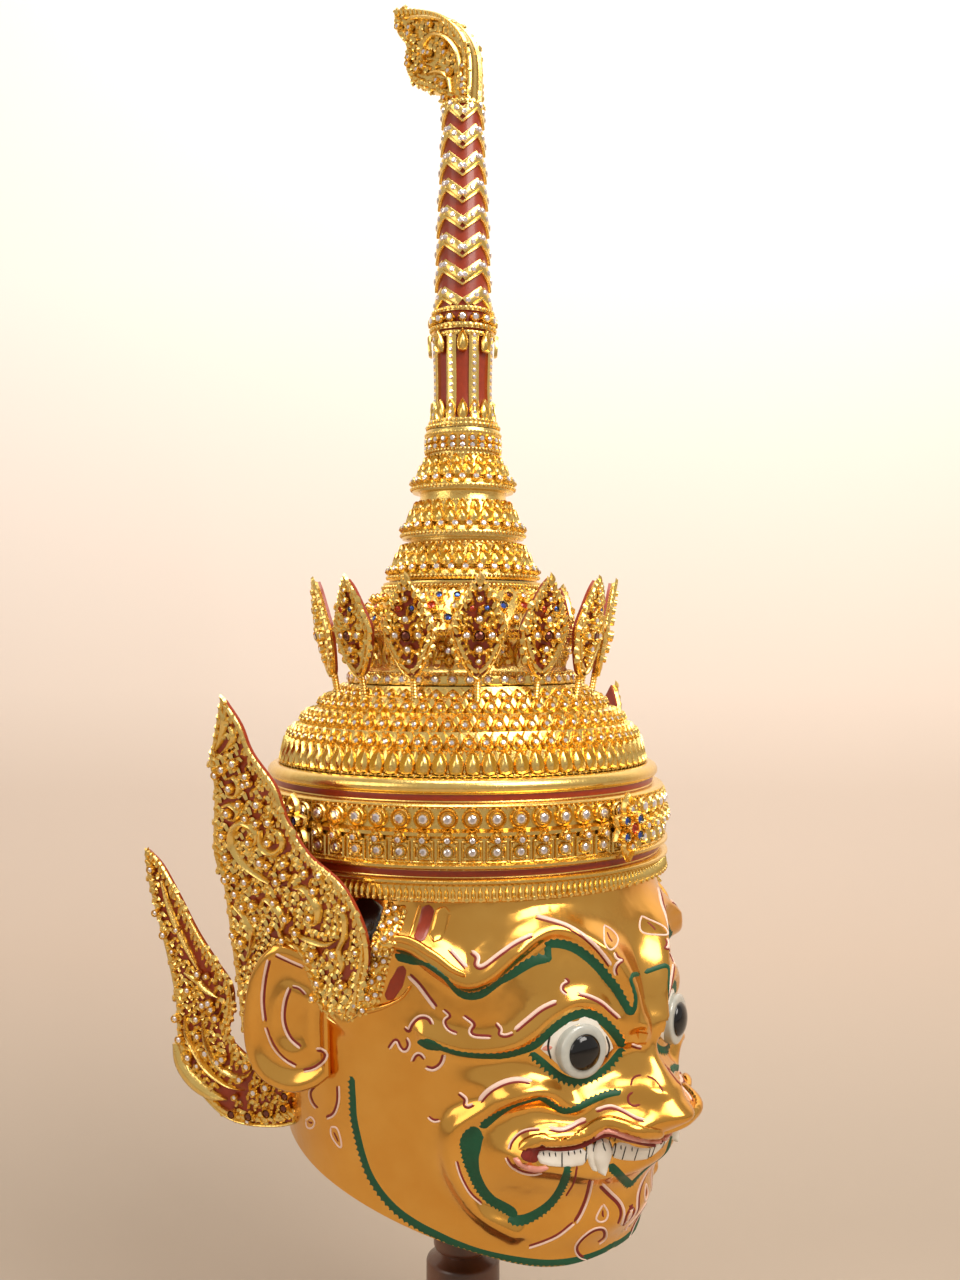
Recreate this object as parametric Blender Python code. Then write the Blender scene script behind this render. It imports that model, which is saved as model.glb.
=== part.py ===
"""A demon mask of the Thai khon theatre, standing on its turned wooden post.

The mask is a gilt, moulded helmet: a hollow head with a carved face and ears, a banded crown
that steps up through rows of petals to a tall spire with a back-swept tip, and jewelled
flames beside the ears. +Z is up, the face looks to -Y, and the origin is the middle of the
stand's underside. All sizes are in metres.
"""
import math

import bmesh
import bpy
from mathutils import Matrix, Vector

# Fits
GAP = 0.0003
MERGE = 0.00001

# Head
CHIN_Z = 0.150
FACE_HEIGHT = 0.176
HEAD_RADIUS = 0.104
WALL = 0.004
COLLAR_STEP = 0.006
DOME_CLEARANCE = 0.003
FINE_ANGLE = 3.3
FINE_REACH = 66.0
COARSE_ANGLE = 15.2
FACE_ROWS = 20

# Eyes
EYE_RADIUS = 0.0125
EYE_DOME = 0.0045
EYE_DEPTH = 0.0035
EYE_SIDES = 16

# Ears
EAR_HEIGHT = 0.070
EAR_WIDTH = 0.042
EAR_THICKNESS = 0.0045
EAR_RIM = 0.0045
EAR_CUP = 0.0018
EAR_ANGLE = 84.0

# Crown, from the band up
BAND_HEIGHT = 0.057
BAND_PROUD = 0.0088
BAND_SIDES = 32
TERRACE_ROWS = ((0.099, 0.0150), (0.093, 0.0085), (0.084, 0.0082), (0.066, 0.0100))
PETALS = 24
PETAL_DEPTH = 0.0035
TERRACE_WALL = 0.006
DRUM_RADIUS = 0.053
DRUM_HEIGHT = 0.054
DRUM_FLUTES = 10
DRUM_WALL = 0.006
TIER_RINGS = ((0.041, 0.022), (0.033, 0.026), (0.028, 0.022))
TIER_TOP_RADIUS = 0.0205
TIER_TOP_HEIGHT = 0.012
TIER_PETALS = 9
SPIRE_FOOT_RADIUS = 0.0185
SPIRE_TOP_RADIUS = 0.0115
SPIRE_HEIGHT = 0.178
SPIRE_PANELS = 8
PANEL_DEPTH = 0.0014
FINIAL_HEIGHT = 0.068
FINIAL_THICKNESS = 0.013
FINIAL_EDGE = 0.0026

# Ornaments
STANDING_FLAMES = 14
STANDING_HEIGHT = 0.050
STANDING_WIDTH = 0.026
STANDING_THICKNESS = 0.0055
STANDING_LEAN = 10.5
STANDING_FOOT_OFFSET = 0.0045
STALK_HEIGHT = 0.014
STALK_WIDTH = 0.005
FLOWER_PLACES = (("front", 0.0), ("left", 90.0), ("back", 180.0), ("right", 270.0))
FLOWER_POINTS = 16
FLOWER_WIDTH = 0.026
FLOWER_HEIGHT = 0.034
FLOWER_THICKNESS = 0.004
FLOWER_EDGE = 0.0012
EAR_FLAME_HEIGHT = 0.180
EAR_FLAME_WIDTH = 0.070
EAR_FLAME_THICKNESS = 0.005
REAR_FLAME_RISE = 0.126
REAR_FLAME_REACH = 0.087
REAR_FLAME_THICKNESS = 0.006
FLAME_EDGE = 0.0017

# Stand
FOOT_RADIUS = 0.110
FOOT_HEIGHT = 0.016
BLOCK_RADIUS = 0.020
BLOCK_TOP_Z = 0.111
LIP_RADIUS = 0.0160
LIP_TOP_Z = 0.125
POST_RADIUS = 0.0135
PAD_RADIUS = 0.046
PAD_HEIGHT = 0.024
STAND_SIDES = 20

# Worked out from the above
BAND_SEAT_Z = CHIN_Z + FACE_HEIGHT
COLLAR_RADIUS = HEAD_RADIUS - COLLAR_STEP
DOME_HEIGHT = BAND_HEIGHT - DOME_CLEARANCE
TERRACE_Z = BAND_SEAT_Z + BAND_HEIGHT + GAP
DRUM_Z = TERRACE_Z + sum(height for radius, height in TERRACE_ROWS) + GAP
TIERS_Z = DRUM_Z + DRUM_HEIGHT + GAP
SPIRE_Z = TIERS_Z + sum(rise for radius, rise in TIER_RINGS) + TIER_TOP_HEIGHT + GAP
FINIAL_Z = SPIRE_Z + SPIRE_HEIGHT + GAP

# The head's plain form, as (share of the face's height, share of the head's radius)
SIDE_FORM = ((0.0, 0.865), (0.22, 0.905), (0.39, 0.95), (0.61, 0.99), (0.84, 1.0), (1.0, 1.0))
FRONT_FORM = (
    (0.0, 1.00), (0.10, 1.075), (0.20, 1.11), (0.27, 1.19), (0.33, 1.235), (0.39, 1.215),
    (0.47, 1.16), (0.56, 1.14), (0.65, 1.16), (0.80, 1.15), (0.90, 1.085), (1.0, 1.01),
)
FRONT_SPREAD = 38.0
# The rim, as (angle from the front, share of the face's height)
RIM_FORM = ((0, 0.0), (20, 0.0), (45, 0.06), (90, 0.175), (120, 0.24), (180, 0.27))
# The dome under the crown, as (share of the collar's radius, share of its height)
DOME_FORM = ((1.0, 0.0), (1.0, 0.58), (0.83, 0.86), (0.0, 1.0))

# The carving on one side of the face, as lines of (angle from the front, share of its height)
BROW_LINE = (
    (64, 0.90), (57, 0.88), (50, 0.83), (44, 0.79), (39, 0.81), (33, 0.87), (27, 0.91),
    (21, 0.93), (14, 0.90), (9, 0.84), (6, 0.76), (4, 0.67),
)
LID_LINE = (
    (54, 0.65), (44, 0.62), (34, 0.63), (29, 0.66), (24, 0.71), (18, 0.74), (11, 0.71), (5, 0.62),
)
CHEEK_LINE = (
    (5, 0.50), (13, 0.49), (19, 0.47), (25, 0.51), (31, 0.51), (38, 0.47), (46, 0.41),
    (48, 0.33), (45, 0.24), (39, 0.16), (31, 0.11),
)
LIP_LINE = ((31, 0.35), (29, 0.39), (24, 0.40), (18, 0.40), (13, 0.42), (8, 0.39), (0, 0.35))
JAW_LINE = ((27, 0.32), (21, 0.30), (15, 0.28), (8, 0.27), (0, 0.27))
FRAME_LINE = ((62, 1.0), (64, 0.92), (66, 0.83), (70, 0.72), (75, 0.66), (81, 0.68))
# Each carved line's height and width, in shares of the face's height
RIDGES = (
    (BROW_LINE, 0.046, 0.032), (LID_LINE, 0.020, 0.026), (CHEEK_LINE, 0.028, 0.028),
    (LIP_LINE, 0.030, 0.024), (JAW_LINE, 0.014, 0.022), (FRAME_LINE, 0.022, 0.040),
)
EYE_ANGLE = 17.3
EYE_SHARE = 0.612
# Soft mounds: the eyeball, cheek, cheekbone, chin and nose wing, as
# (centre, height, width, tallness), also in shares of the face's height
MOUNDS = (
    ((EYE_ANGLE, EYE_SHARE), 0.026, 0.085, 0.080), ((32, 0.33), 0.022, 0.090, 0.085),
    ((34, 0.52), 0.030, 0.090, 0.045), ((0, 0.12), 0.020, 0.110, 0.060),
    ((9.5, 0.43), 0.050, 0.048, 0.042),
)
NOSE_RISE = ((0.37, 0.0), (0.40, 0.10), (0.43, 0.155), (0.48, 0.135), (0.62, 0.04), (0.72, 0.0))
NOSE_WIDTH = ((0.40, 8.0), (0.46, 7.0), (0.60, 4.5))
# How fast the carving dies away towards the collar and the rim
RELIEF_FADE = 8.0
INNER_ROWS = (0.0, 0.4, 0.8)

GOLD = (0.83, 0.50, 0.10)
BRIGHT_GOLD = (0.87, 0.60, 0.16)


def between(points, value):
    """Smooth curve through (place, height) points, level past both ends."""
    if value <= points[0][0]:
        return points[0][1]
    for (x0, y0), (x1, y1) in zip(points, points[1:]):
        if value <= x1:
            share = (value - x0) / (x1 - x0)
            share = share * share * (3 - 2 * share) * 0.5 + share * 0.5
            return y0 + (y1 - y0) * share
    return points[-1][1]


def on_sheet(angle, share):
    """A face place, flattened to metres across and up."""
    return math.radians(angle) * HEAD_RADIUS, share * FACE_HEIGHT


def distance_to(line, angle, share):
    """Distance from a face place to a carved line."""
    x, y = on_sheet(angle, share)
    best = FACE_HEIGHT
    for start, end in zip(line, line[1:]):
        x0, y0 = on_sheet(*start)
        x1, y1 = on_sheet(*end)
        length = (x1 - x0) ** 2 + (y1 - y0) ** 2
        along = ((x - x0) * (x1 - x0) + (y - y0) * (y1 - y0)) / length
        along = min(max(along, 0.0), 1.0)
        best = min(best, math.hypot(x - x0 - along * (x1 - x0), y - y0 - along * (y1 - y0)))
    return best


def swell(angle, share, centre, width, height):
    """A soft mound: 1 at its centre, with a width and a height in shares of the face."""
    x, y = on_sheet(angle - centre[0], share - centre[1])
    return math.exp(-((x / (width * FACE_HEIGHT)) ** 2) - (y / (height * FACE_HEIGHT)) ** 2)


def carving(angle, share):
    """How far the carving stands off the plain form, in shares of the face's height."""
    side = abs(angle)
    bump = nose_bridge(side, share)
    for line, height, width in RIDGES:
        away = distance_to(line, side, share) / (width * FACE_HEIGHT)
        bump += height * math.exp(-away * away)
    for centre, height, width, tall in MOUNDS:
        bump += height * swell(side, share, centre, width, tall)
    return bump


def nose_bridge(side, share):
    """The bridge of the nose, which grows towards the tip."""
    return between(NOSE_RISE, share) * math.exp(-((side / between(NOSE_WIDTH, share)) ** 2))


def head_radius(angle, share):
    """Distance of the head's outer face from the axis."""
    side = between(SIDE_FORM, share) * HEAD_RADIUS
    front = between(FRONT_FORM, share) * HEAD_RADIUS
    return side + (front - side) * math.exp(-((angle / FRONT_SPREAD) ** 2))


def rim_share(angle):
    """Height of the head's rim, low at the chin and high at the nape."""
    return between(RIM_FORM, abs(angle))


def polar(angle, radius, z):
    """A point at an angle from the front, going round to the mask's own left."""
    turn = math.radians(angle)
    return Vector((math.sin(turn) * radius, -math.cos(turn) * radius, z))


def head_columns():
    """Angles round the head, close over the face and wide behind."""
    fine = int(2 * FINE_REACH / FINE_ANGLE)
    angles = [-FINE_REACH + FINE_ANGLE * step for step in range(fine)]
    coarse = int((360 - 2 * FINE_REACH) / COARSE_ANGLE)
    return angles + [FINE_REACH + COARSE_ANGLE * step for step in range(coarse)]


def new_material(name, colour, roughness, metallic):
    """A plain Principled finish."""
    material = bpy.data.materials.new(name)
    material.use_nodes = True
    shader = material.node_tree.nodes["Principled BSDF"]
    shader.inputs["Base Color"].default_value = (*colour, 1.0)
    shader.inputs["Roughness"].default_value = roughness
    shader.inputs["Metallic"].default_value = metallic
    material.diffuse_color = (*colour, 1.0)
    return material


def add_object(name, bm, material):
    """Turn a bmesh into a shaded object."""
    bmesh.ops.recalc_face_normals(bm, faces=bm.faces)
    mesh = bpy.data.meshes.new(name)
    bm.to_mesh(mesh)
    bm.free()
    mesh.shade_smooth()
    mesh.set_sharp_from_angle(angle=math.radians(35))
    mesh.materials.append(material)
    obj = bpy.data.objects.new(name, mesh)
    bpy.context.collection.objects.link(obj)
    return obj


def hide_cutter(obj):
    """Keep a cutter out of the model."""
    obj.hide_render = True
    obj.display_type = "WIRE"
    return obj


def boolean(obj, other, operation):
    """Cut or join with Blender's exact solver."""
    modifier = obj.modifiers.new(operation.title(), "BOOLEAN")
    modifier.operation = operation
    modifier.object = hide_cutter(other)


def wrapped(columns, stations, place):
    """A grid wrapped round the axis: place(column, station) gives each corner."""
    bm = bmesh.new()
    rows = len(stations) - 1
    bmesh.ops.create_grid(bm, x_segments=columns, y_segments=rows, size=0.5)
    for vert in bm.verts:
        column = round((vert.co.x + 0.5) * columns) % columns
        row = round((vert.co.y + 0.5) * rows)
        vert.co = place(column, stations[row])
    bmesh.ops.remove_doubles(bm, verts=bm.verts, dist=MERGE)
    return bm


def turned(columns, profile, wave=None):
    """A turned body from a closed profile of (radius, height, waviness)."""
    def place(column, station):
        radius, z, depth = station
        inward = depth * wave(column) if wave else 0.0
        return polar(360.0 * column / columns, max(radius - inward, 0.0), z)
    return wrapped(columns, profile, place)


def plain(points):
    """Profile points with no waviness."""
    return [(radius, z, 0.0) for radius, z in points]


def plate(outline, thickness, edge, rise):
    """A leaf cut from a sheet, its front raised or sunk by the rise inside a sloping edge.

    The outline lies in X and Z; the front looks to -Y and the back lies on Y = 0.
    """
    bm = bmesh.new()
    verts = [bm.verts.new((x, 0.0, z)) for x, z in outline]
    face = bm.faces.new(verts)
    bm.normal_update()
    if face.normal.y > 0:
        face.normal_flip()
    front = bmesh.ops.extrude_face_region(bm, geom=[face])["geom"]
    front_face = [item for item in front if isinstance(item, bmesh.types.BMFace)][0]
    for vert in front_face.verts:
        vert.co.y -= thickness - max(rise, 0.0)
    bmesh.ops.inset_region(bm, faces=[front_face], thickness=edge, depth=rise)
    return bm


def flame_outline(width, height):
    """A flame leaf: narrow at its foot, widest below the middle and drawn up to a point."""
    flank = ((0.20, 0.0), (0.62, 0.16), (1.0, 0.40), (0.74, 0.60), (0.36, 0.82))
    right = [(0.5 * width * wide, height * up) for wide, up in flank]
    return right + [(0.0, height)] + [(-x, z) for x, z in reversed(right)]


def frame_matrix(origin, across, up):
    """Axes for a plate: across and up lie in it, and it faces away from the axis."""
    across = Vector(across).normalized()
    up = Vector(up)
    up = (up - across * up.dot(across)).normalized()
    back = up.cross(across)
    matrix = Matrix((across, back, up)).transposed().to_4x4()
    return Matrix.Translation(origin) @ matrix


def to_side(bm, matrix, side):
    """Place a shape made for the mask's own left, and mirror it if it is for the right."""
    bmesh.ops.transform(bm, matrix=matrix, verts=bm.verts)
    bmesh.ops.scale(bm, vec=(side, 1, 1), verts=bm.verts)
    return bm


def head_body(offset, hollow):
    """The head's skin, a little swollen if wanted, as a shell or a full solid."""
    angles = head_columns()
    stations = [("dome", radius, rise) for radius, rise in reversed(DOME_FORM)]
    stations += [("face", 1.0 - row / FACE_ROWS, 0.0) for row in range(FACE_ROWS + 1)]
    if hollow:
        stations += [("inner", share, 0.0) for share in INNER_ROWS]
        stations += [("inner dome", radius, rise) for radius, rise in DOME_FORM]
    else:
        stations += [("floor", 0.0, 0.0)]

    def place(column, station):
        kind, share, rise = station
        angle = angles[column]
        if angle > 180:
            angle -= 360
        rim = rim_share(angle)
        if kind == "dome":
            z = BAND_SEAT_Z + rise * DOME_HEIGHT + offset
            return polar(angle, max(share * COLLAR_RADIUS + (offset if share else 0.0), 0.0), z)
        if kind == "inner dome":
            z = BAND_SEAT_Z + rise * DOME_HEIGHT - WALL
            return polar(angle, max(share * COLLAR_RADIUS - (WALL if share else 0.0), 0.0), z)
        if kind == "floor":
            return Vector((0.0, 0.0, CHIN_Z))
        height = rim + (1.0 - rim) * share
        radius = head_radius(angle, height)
        if kind == "face":
            fade = min(1.0, RELIEF_FADE * (1.0 - share), RELIEF_FADE * share)
            radius += carving(angle, height) * FACE_HEIGHT * fade + offset
        else:
            radius -= WALL
        return polar(angle, radius, CHIN_Z + height * FACE_HEIGHT)

    return wrapped(len(angles), stations, place)


def eye_place():
    """Where the eyes sit: radius of the socket's floor and height."""
    radius = head_radius(EYE_ANGLE, EYE_SHARE) + carving(EYE_ANGLE, EYE_SHARE) * FACE_HEIGHT
    return radius - EYE_DEPTH, CHIN_Z + EYE_SHARE * FACE_HEIGHT


def eye_matrix(side):
    """Axes of one eye: its local +Z looks out of the face."""
    radius, z = eye_place()
    angle = side * EYE_ANGLE
    return Matrix.Translation(polar(angle, radius, z)) @ (
        polar(angle, 1.0, 0.0).to_track_quat("Z", "Y").to_matrix().to_4x4())


def socket_cutter(side):
    """The round hole an eye is set in."""
    bm = bmesh.new()
    radius = EYE_RADIUS + GAP
    bmesh.ops.create_cone(bm, cap_ends=True, segments=EYE_SIDES, radius1=radius, radius2=radius,
                          depth=2 * EYE_RADIUS, matrix=Matrix.Translation((0, 0, EYE_RADIUS)))
    bmesh.ops.transform(bm, matrix=eye_matrix(side), verts=bm.verts)
    return add_object("cut_socket", bm, GOLD_LEAF)


def eye(name, side, material):
    """One inlaid eye: a round disc with a domed face."""
    profile = plain(((0.0, GAP), (EYE_RADIUS, GAP), (EYE_RADIUS, EYE_DEPTH),
                     (0.72 * EYE_RADIUS, EYE_DEPTH + 0.62 * EYE_DOME), (0.0, EYE_DEPTH + EYE_DOME)))
    bm = turned(EYE_SIDES, profile)
    bmesh.ops.transform(bm, matrix=eye_matrix(side), verts=bm.verts)
    return add_object(name, bm, material)


def ear_matrix():
    """Axes of the left ear: across runs back and outwards from its root in the cheek."""
    root = polar(EAR_ANGLE, 0.965 * HEAD_RADIUS, CHIN_Z + 0.45 * FACE_HEIGHT)
    return frame_matrix(root, (0.58, 0.81, 0.0), (0.10, 0.0, 1.0))


def ear_outline(grow):
    """The ear: a tall leaf, pointed above, rounded behind and curled in at the lobe."""
    shares = ((-0.02, 0.12), (-0.02, 0.86), (0.30, 0.99), (0.62, 1.00), (0.86, 0.82),
              (1.0, 0.52), (0.96, 0.24), (0.80, 0.08), (0.48, 0.0), (0.18, 0.03))
    middle = (0.45 * EAR_WIDTH, 0.5 * EAR_HEIGHT)
    outline = []
    for across, up in shares:
        x, z = across * EAR_WIDTH, up * EAR_HEIGHT
        away = Vector((x - middle[0], z - middle[1])).normalized()
        outline.append((x + away.x * grow, z + away.y * grow))
    return outline


def ear_body(side, grow):
    """One ear, its front sunk to a shallow cup inside the rim."""
    bm = plate(ear_outline(grow), EAR_THICKNESS + 2 * grow, EAR_RIM, -EAR_CUP)
    bmesh.ops.translate(bm, vec=(0, grow, 0), verts=bm.verts)
    return to_side(bm, ear_matrix(), side)


def make_head():
    """The hollow head with its face, ears and eye sockets."""
    head = add_object("mask_head", head_body(0.0, True), GOLD_LEAF)
    for side in (-1, 1):
        boolean(head, add_object("join_ear", ear_body(side, 0.0), GOLD_LEAF), "UNION")
        boolean(head, socket_cutter(side), "DIFFERENCE")
    return head


def crown_band():
    """The turned band that sits round the head's collar, from its fluted foot to its top bead."""
    proud = BAND_PROUD
    outer = (
        (0.70, 0.0), (0.75, 0.16), (0.25, 0.20), (0.25, 0.27), (0.80, 0.36), (1.0, 0.48),
        (0.95, 0.62), (0.90, 0.72), (-0.20, 0.80), (-0.20, 0.90), (0.05, 0.93), (0.05, 1.0),
    )
    profile = [(HEAD_RADIUS + share * proud, BAND_SEAT_Z + GAP + up * (BAND_HEIGHT - GAP))
               for share, up in outer]
    bore = [((share * COLLAR_RADIUS + 2 * GAP) / math.cos(math.pi / BAND_SIDES),
             BAND_SEAT_Z + up * DOME_HEIGHT + 2 * GAP) for share, up in DOME_FORM[:3]]
    profile.append((bore[-1][0], BAND_SEAT_Z + BAND_HEIGHT))
    profile += reversed(bore[1:])
    profile.append((bore[0][0], BAND_SEAT_Z + GAP))
    profile.append(profile[0])
    return add_object("crown_band", turned(BAND_SIDES, plain(profile)), CAST_GOLD)


def petal_wave(column):
    """Petal tips stand proud on even columns and fall back between them."""
    return float(column % 2)


def crown_terrace():
    """Four stepped rows of petals over a hollow core."""
    profile = []
    z = TERRACE_Z
    for radius, height in TERRACE_ROWS:
        profile.append((radius - 0.4 * PETAL_DEPTH, z, PETAL_DEPTH))
        z += height
        profile.append((radius, z, PETAL_DEPTH))
    foot_radius, foot_height = TERRACE_ROWS[0]
    top_radius = TERRACE_ROWS[-1][0]
    profile = [(0.0, z, 0.0), (top_radius - 3 * PETAL_DEPTH, z, 0.0)] + profile[::-1]
    foot_inner = foot_radius - PETAL_DEPTH - 2 * TERRACE_WALL
    top_inner = top_radius - PETAL_DEPTH - TERRACE_WALL
    profile += plain((
        (foot_inner, TERRACE_Z), (foot_inner, TERRACE_Z + foot_height - TERRACE_WALL),
        (top_inner, z - TERRACE_WALL), (0.0, z - TERRACE_WALL),
    ))
    return add_object("crown_terrace", turned(2 * PETALS, profile, petal_wave), CAST_GOLD)


def crown_drum():
    """The fluted drum behind the standing flames, hollow below."""
    flute = 0.05 * DRUM_RADIUS
    shares = ((1.14, 0.0, 0), (1.14, 0.06, 0), (1.0, 0.10, 1), (0.98, 0.46, 1), (1.06, 0.52, 0),
              (1.0, 0.60, 0), (0.94, 0.86, 1), (0.82, 1.0, 0))
    profile = [(radius * DRUM_RADIUS, DRUM_Z + up * DRUM_HEIGHT, wavy * flute)
               for radius, up, wavy in shares]
    top = DRUM_Z + DRUM_HEIGHT
    inner = DRUM_RADIUS - DRUM_WALL
    profile = [(0.0, top, 0.0)] + profile[::-1]
    profile += [(inner, DRUM_Z, 0.0), (0.9 * inner, top - DRUM_WALL, 0.0), (0.0, top - DRUM_WALL, 0.0)]
    return add_object("crown_drum", turned(2 * DRUM_FLUTES, profile, petal_wave), CAST_GOLD)


def crown_tiers():
    """Three shrinking rings, each a petalled rim over a cove, under a plain collar."""
    profile = [(0.0, TIERS_Z, 0.0)]
    z = TIERS_Z
    radii = [radius for radius, rise in TIER_RINGS] + [TIER_TOP_RADIUS]
    for (radius, rise), above in zip(TIER_RINGS, radii[1:]):
        cove = 0.5 * (radius + above) - 0.14 * radius
        profile += [(radius, z, 0.0), (radius, z + 0.18 * rise, 0.0),
                    (0.90 * radius, z + 0.42 * rise, 0.06 * radius), (cove, z + 0.60 * rise, 0.0),
                    (max(cove, 0.93 * above), z + rise, 0.0)]
        z += rise
    profile += [(TIER_TOP_RADIUS, z, 0.0), (0.92 * TIER_TOP_RADIUS, z + 0.5 * TIER_TOP_HEIGHT, 0.0),
                (TIER_TOP_RADIUS, z + TIER_TOP_HEIGHT, 0.0), (0.0, z + TIER_TOP_HEIGHT, 0.0)]
    return add_object("crown_tiers", turned(2 * TIER_PETALS, profile, petal_wave), CAST_GOLD)


def crown_spire():
    """The tall spire: raised straps with sunk lacquer panels between them."""
    # Share of the height, share of the taper from top to foot, share of the panels' depth
    shares = ((0.0, 1.0, 0), (0.03, 0.89, 0), (0.06, 0.72, 1), (0.30, 0.61, 1), (0.33, 0.78, 0),
              (0.37, 0.56, 1), (0.55, 0.28, 1), (0.75, 0.11, 1), (0.96, 0.0, 1), (1.0, 0.0, 0))
    profile = [(0.0, SPIRE_Z, 0.0)]
    for up, taper, sunk in shares:
        radius = SPIRE_TOP_RADIUS + taper * (SPIRE_FOOT_RADIUS - SPIRE_TOP_RADIUS)
        profile.append((radius, SPIRE_Z + up * SPIRE_HEIGHT, sunk * PANEL_DEPTH))
    profile.append((0.0, SPIRE_Z + SPIRE_HEIGHT, 0.0))
    return add_object("crown_spire", turned(2 * SPIRE_PANELS, profile, petal_wave), CAST_GOLD)


def crown_finial():
    """The flame that caps the spire, swept back and up to a point."""
    front = ((-0.13, 0.0), (-0.14, 0.24), (-0.11, 0.42), (0.0, 0.60), (0.20, 0.77), (0.46, 0.90))
    back = ((0.70, 0.80), (0.59, 0.66), (0.60, 0.52), (0.55, 0.38), (0.42, 0.26), (0.20, 0.14),
            (0.13, 0.0))
    outline = [(-y * FINIAL_HEIGHT, z * FINIAL_HEIGHT) for y, z in front + ((0.75, 1.0),) + back]
    bm = plate(outline, FINIAL_THICKNESS, FINIAL_EDGE, FINIAL_EDGE)
    turn = frame_matrix((0.5 * FINIAL_THICKNESS, 0.0, FINIAL_Z), (0, -1, 0), (0, 0, 1))
    bmesh.ops.transform(bm, matrix=turn, verts=bm.verts)
    return add_object("crown_finial", bm, CAST_GOLD)


def standing_flames():
    """The ring of flame leaves that stand on beaded stalks round the drum."""
    outline = flame_outline(STANDING_WIDTH, STANDING_HEIGHT)
    outline = [(x, z + STALK_HEIGHT) for x, z in outline]
    outline = [(0.5 * STALK_WIDTH, 0.0)] + outline + [(-0.5 * STALK_WIDTH, 0.0)]
    foot = TERRACE_ROWS[-1][0] + STANDING_FOOT_OFFSET
    z = DRUM_Z - TERRACE_ROWS[-1][1]
    for number in range(STANDING_FLAMES):
        angle = (number + 0.5) * 360.0 / STANDING_FLAMES
        outward = polar(angle, 1.0, 0.0)
        lean = math.tan(math.radians(STANDING_LEAN))
        matrix = frame_matrix(polar(angle, foot - 0.5 * STANDING_THICKNESS, z),
                              (-outward.y, outward.x, 0.0), (0, 0, 1))
        bm = plate(outline, STANDING_THICKNESS, FLAME_EDGE, FLAME_EDGE)
        for vert in bm.verts:
            vert.co.y -= lean * vert.co.z
        bmesh.ops.transform(bm, matrix=matrix, verts=bm.verts)
        add_object("standing_flame_%02d" % (number + 1), bm, CAST_GOLD)


def band_flowers():
    """Four diamond flowers on the band: front, back and both sides."""
    points = []
    for step in range(FLOWER_POINTS):
        turn = 2 * math.pi * step / FLOWER_POINTS
        lobe = 0.80 + 0.20 * math.cos(4 * turn)
        across = 0.5 * FLOWER_WIDTH * lobe * math.sin(turn)
        points.append((across, 0.5 * FLOWER_HEIGHT * lobe * math.cos(turn)))
    for place, angle in FLOWER_PLACES:
        outward = polar(angle, 1.0, 0.0)
        seat = HEAD_RADIUS + BAND_PROUD + GAP
        matrix = frame_matrix(polar(angle, seat, BAND_SEAT_Z + 0.55 * BAND_HEIGHT),
                              (-outward.y, outward.x, 0.0), (0, 0, 1))
        bm = plate(points, FLOWER_THICKNESS, FLOWER_EDGE, FLOWER_EDGE)
        bmesh.ops.transform(bm, matrix=matrix, verts=bm.verts)
        add_object("band_flower_" + place, bm, CAST_GOLD)


def clearance_bodies():
    """The head, ears and band, each grown by the gap, to cut the flames clear of them."""
    bodies = [add_object("cut_head", head_body(GAP, False), GOLD_LEAF)]
    bodies += [add_object("cut_ear", ear_body(side, 2 * GAP), GOLD_LEAF) for side in (-1, 1)]
    bm = bmesh.new()
    radius = (HEAD_RADIUS + BAND_PROUD) / math.cos(math.pi / BAND_SIDES) + GAP
    bmesh.ops.create_cone(bm, cap_ends=True, segments=BAND_SIDES, radius1=radius, radius2=radius,
                          depth=BAND_HEIGHT,
                          matrix=Matrix.Translation((0, 0, BAND_SEAT_Z + 0.5 * BAND_HEIGHT)))
    return bodies + [add_object("cut_band", bm, CAST_GOLD)]


def ear_flame_matrix():
    """Axes of the left ear flame: across runs back, and up leans away from the head."""
    origin = polar(74.0, 1.085 * HEAD_RADIUS, CHIN_Z + 0.82 * FACE_HEIGHT)
    return frame_matrix(origin, (0.174, 0.985, 0.0), (0.235, -0.042, 1.0))


def ear_flame(name, side, cutters):
    """The big jewelled flame that rises over one ear, with an arm before and behind it."""
    front = ((-0.06, -0.13), (-0.13, -0.05), (-0.22, 0.04), (-0.21, 0.13), (-0.08, 0.23),
             (0.17, 0.30), (0.32, 0.395), (0.37, 0.48), (0.54, 0.57), (0.60, 0.645))
    rear = ((0.87, 0.58), (0.92, 0.54), (0.92, 0.46), (1.04, 0.28), (1.0, 0.18), (1.03, 0.0),
            (1.05, -0.13), (1.07, -0.28), (0.88, -0.33), (0.70, -0.27), (0.74, -0.13),
            (0.60, 0.02), (0.42, 0.03), (0.32, -0.05), (0.26, -0.14), (0.10, -0.17))
    outline = [(x * EAR_FLAME_WIDTH, z * EAR_FLAME_HEIGHT)
               for x, z in front + ((0.71, 0.71),) + rear]
    bm = plate(outline, EAR_FLAME_THICKNESS, FLAME_EDGE, FLAME_EDGE)
    flame = add_object(name, to_side(bm, ear_flame_matrix(), side), CAST_GOLD)
    for cutter in cutters:
        boolean(flame, cutter, "DIFFERENCE")


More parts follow.
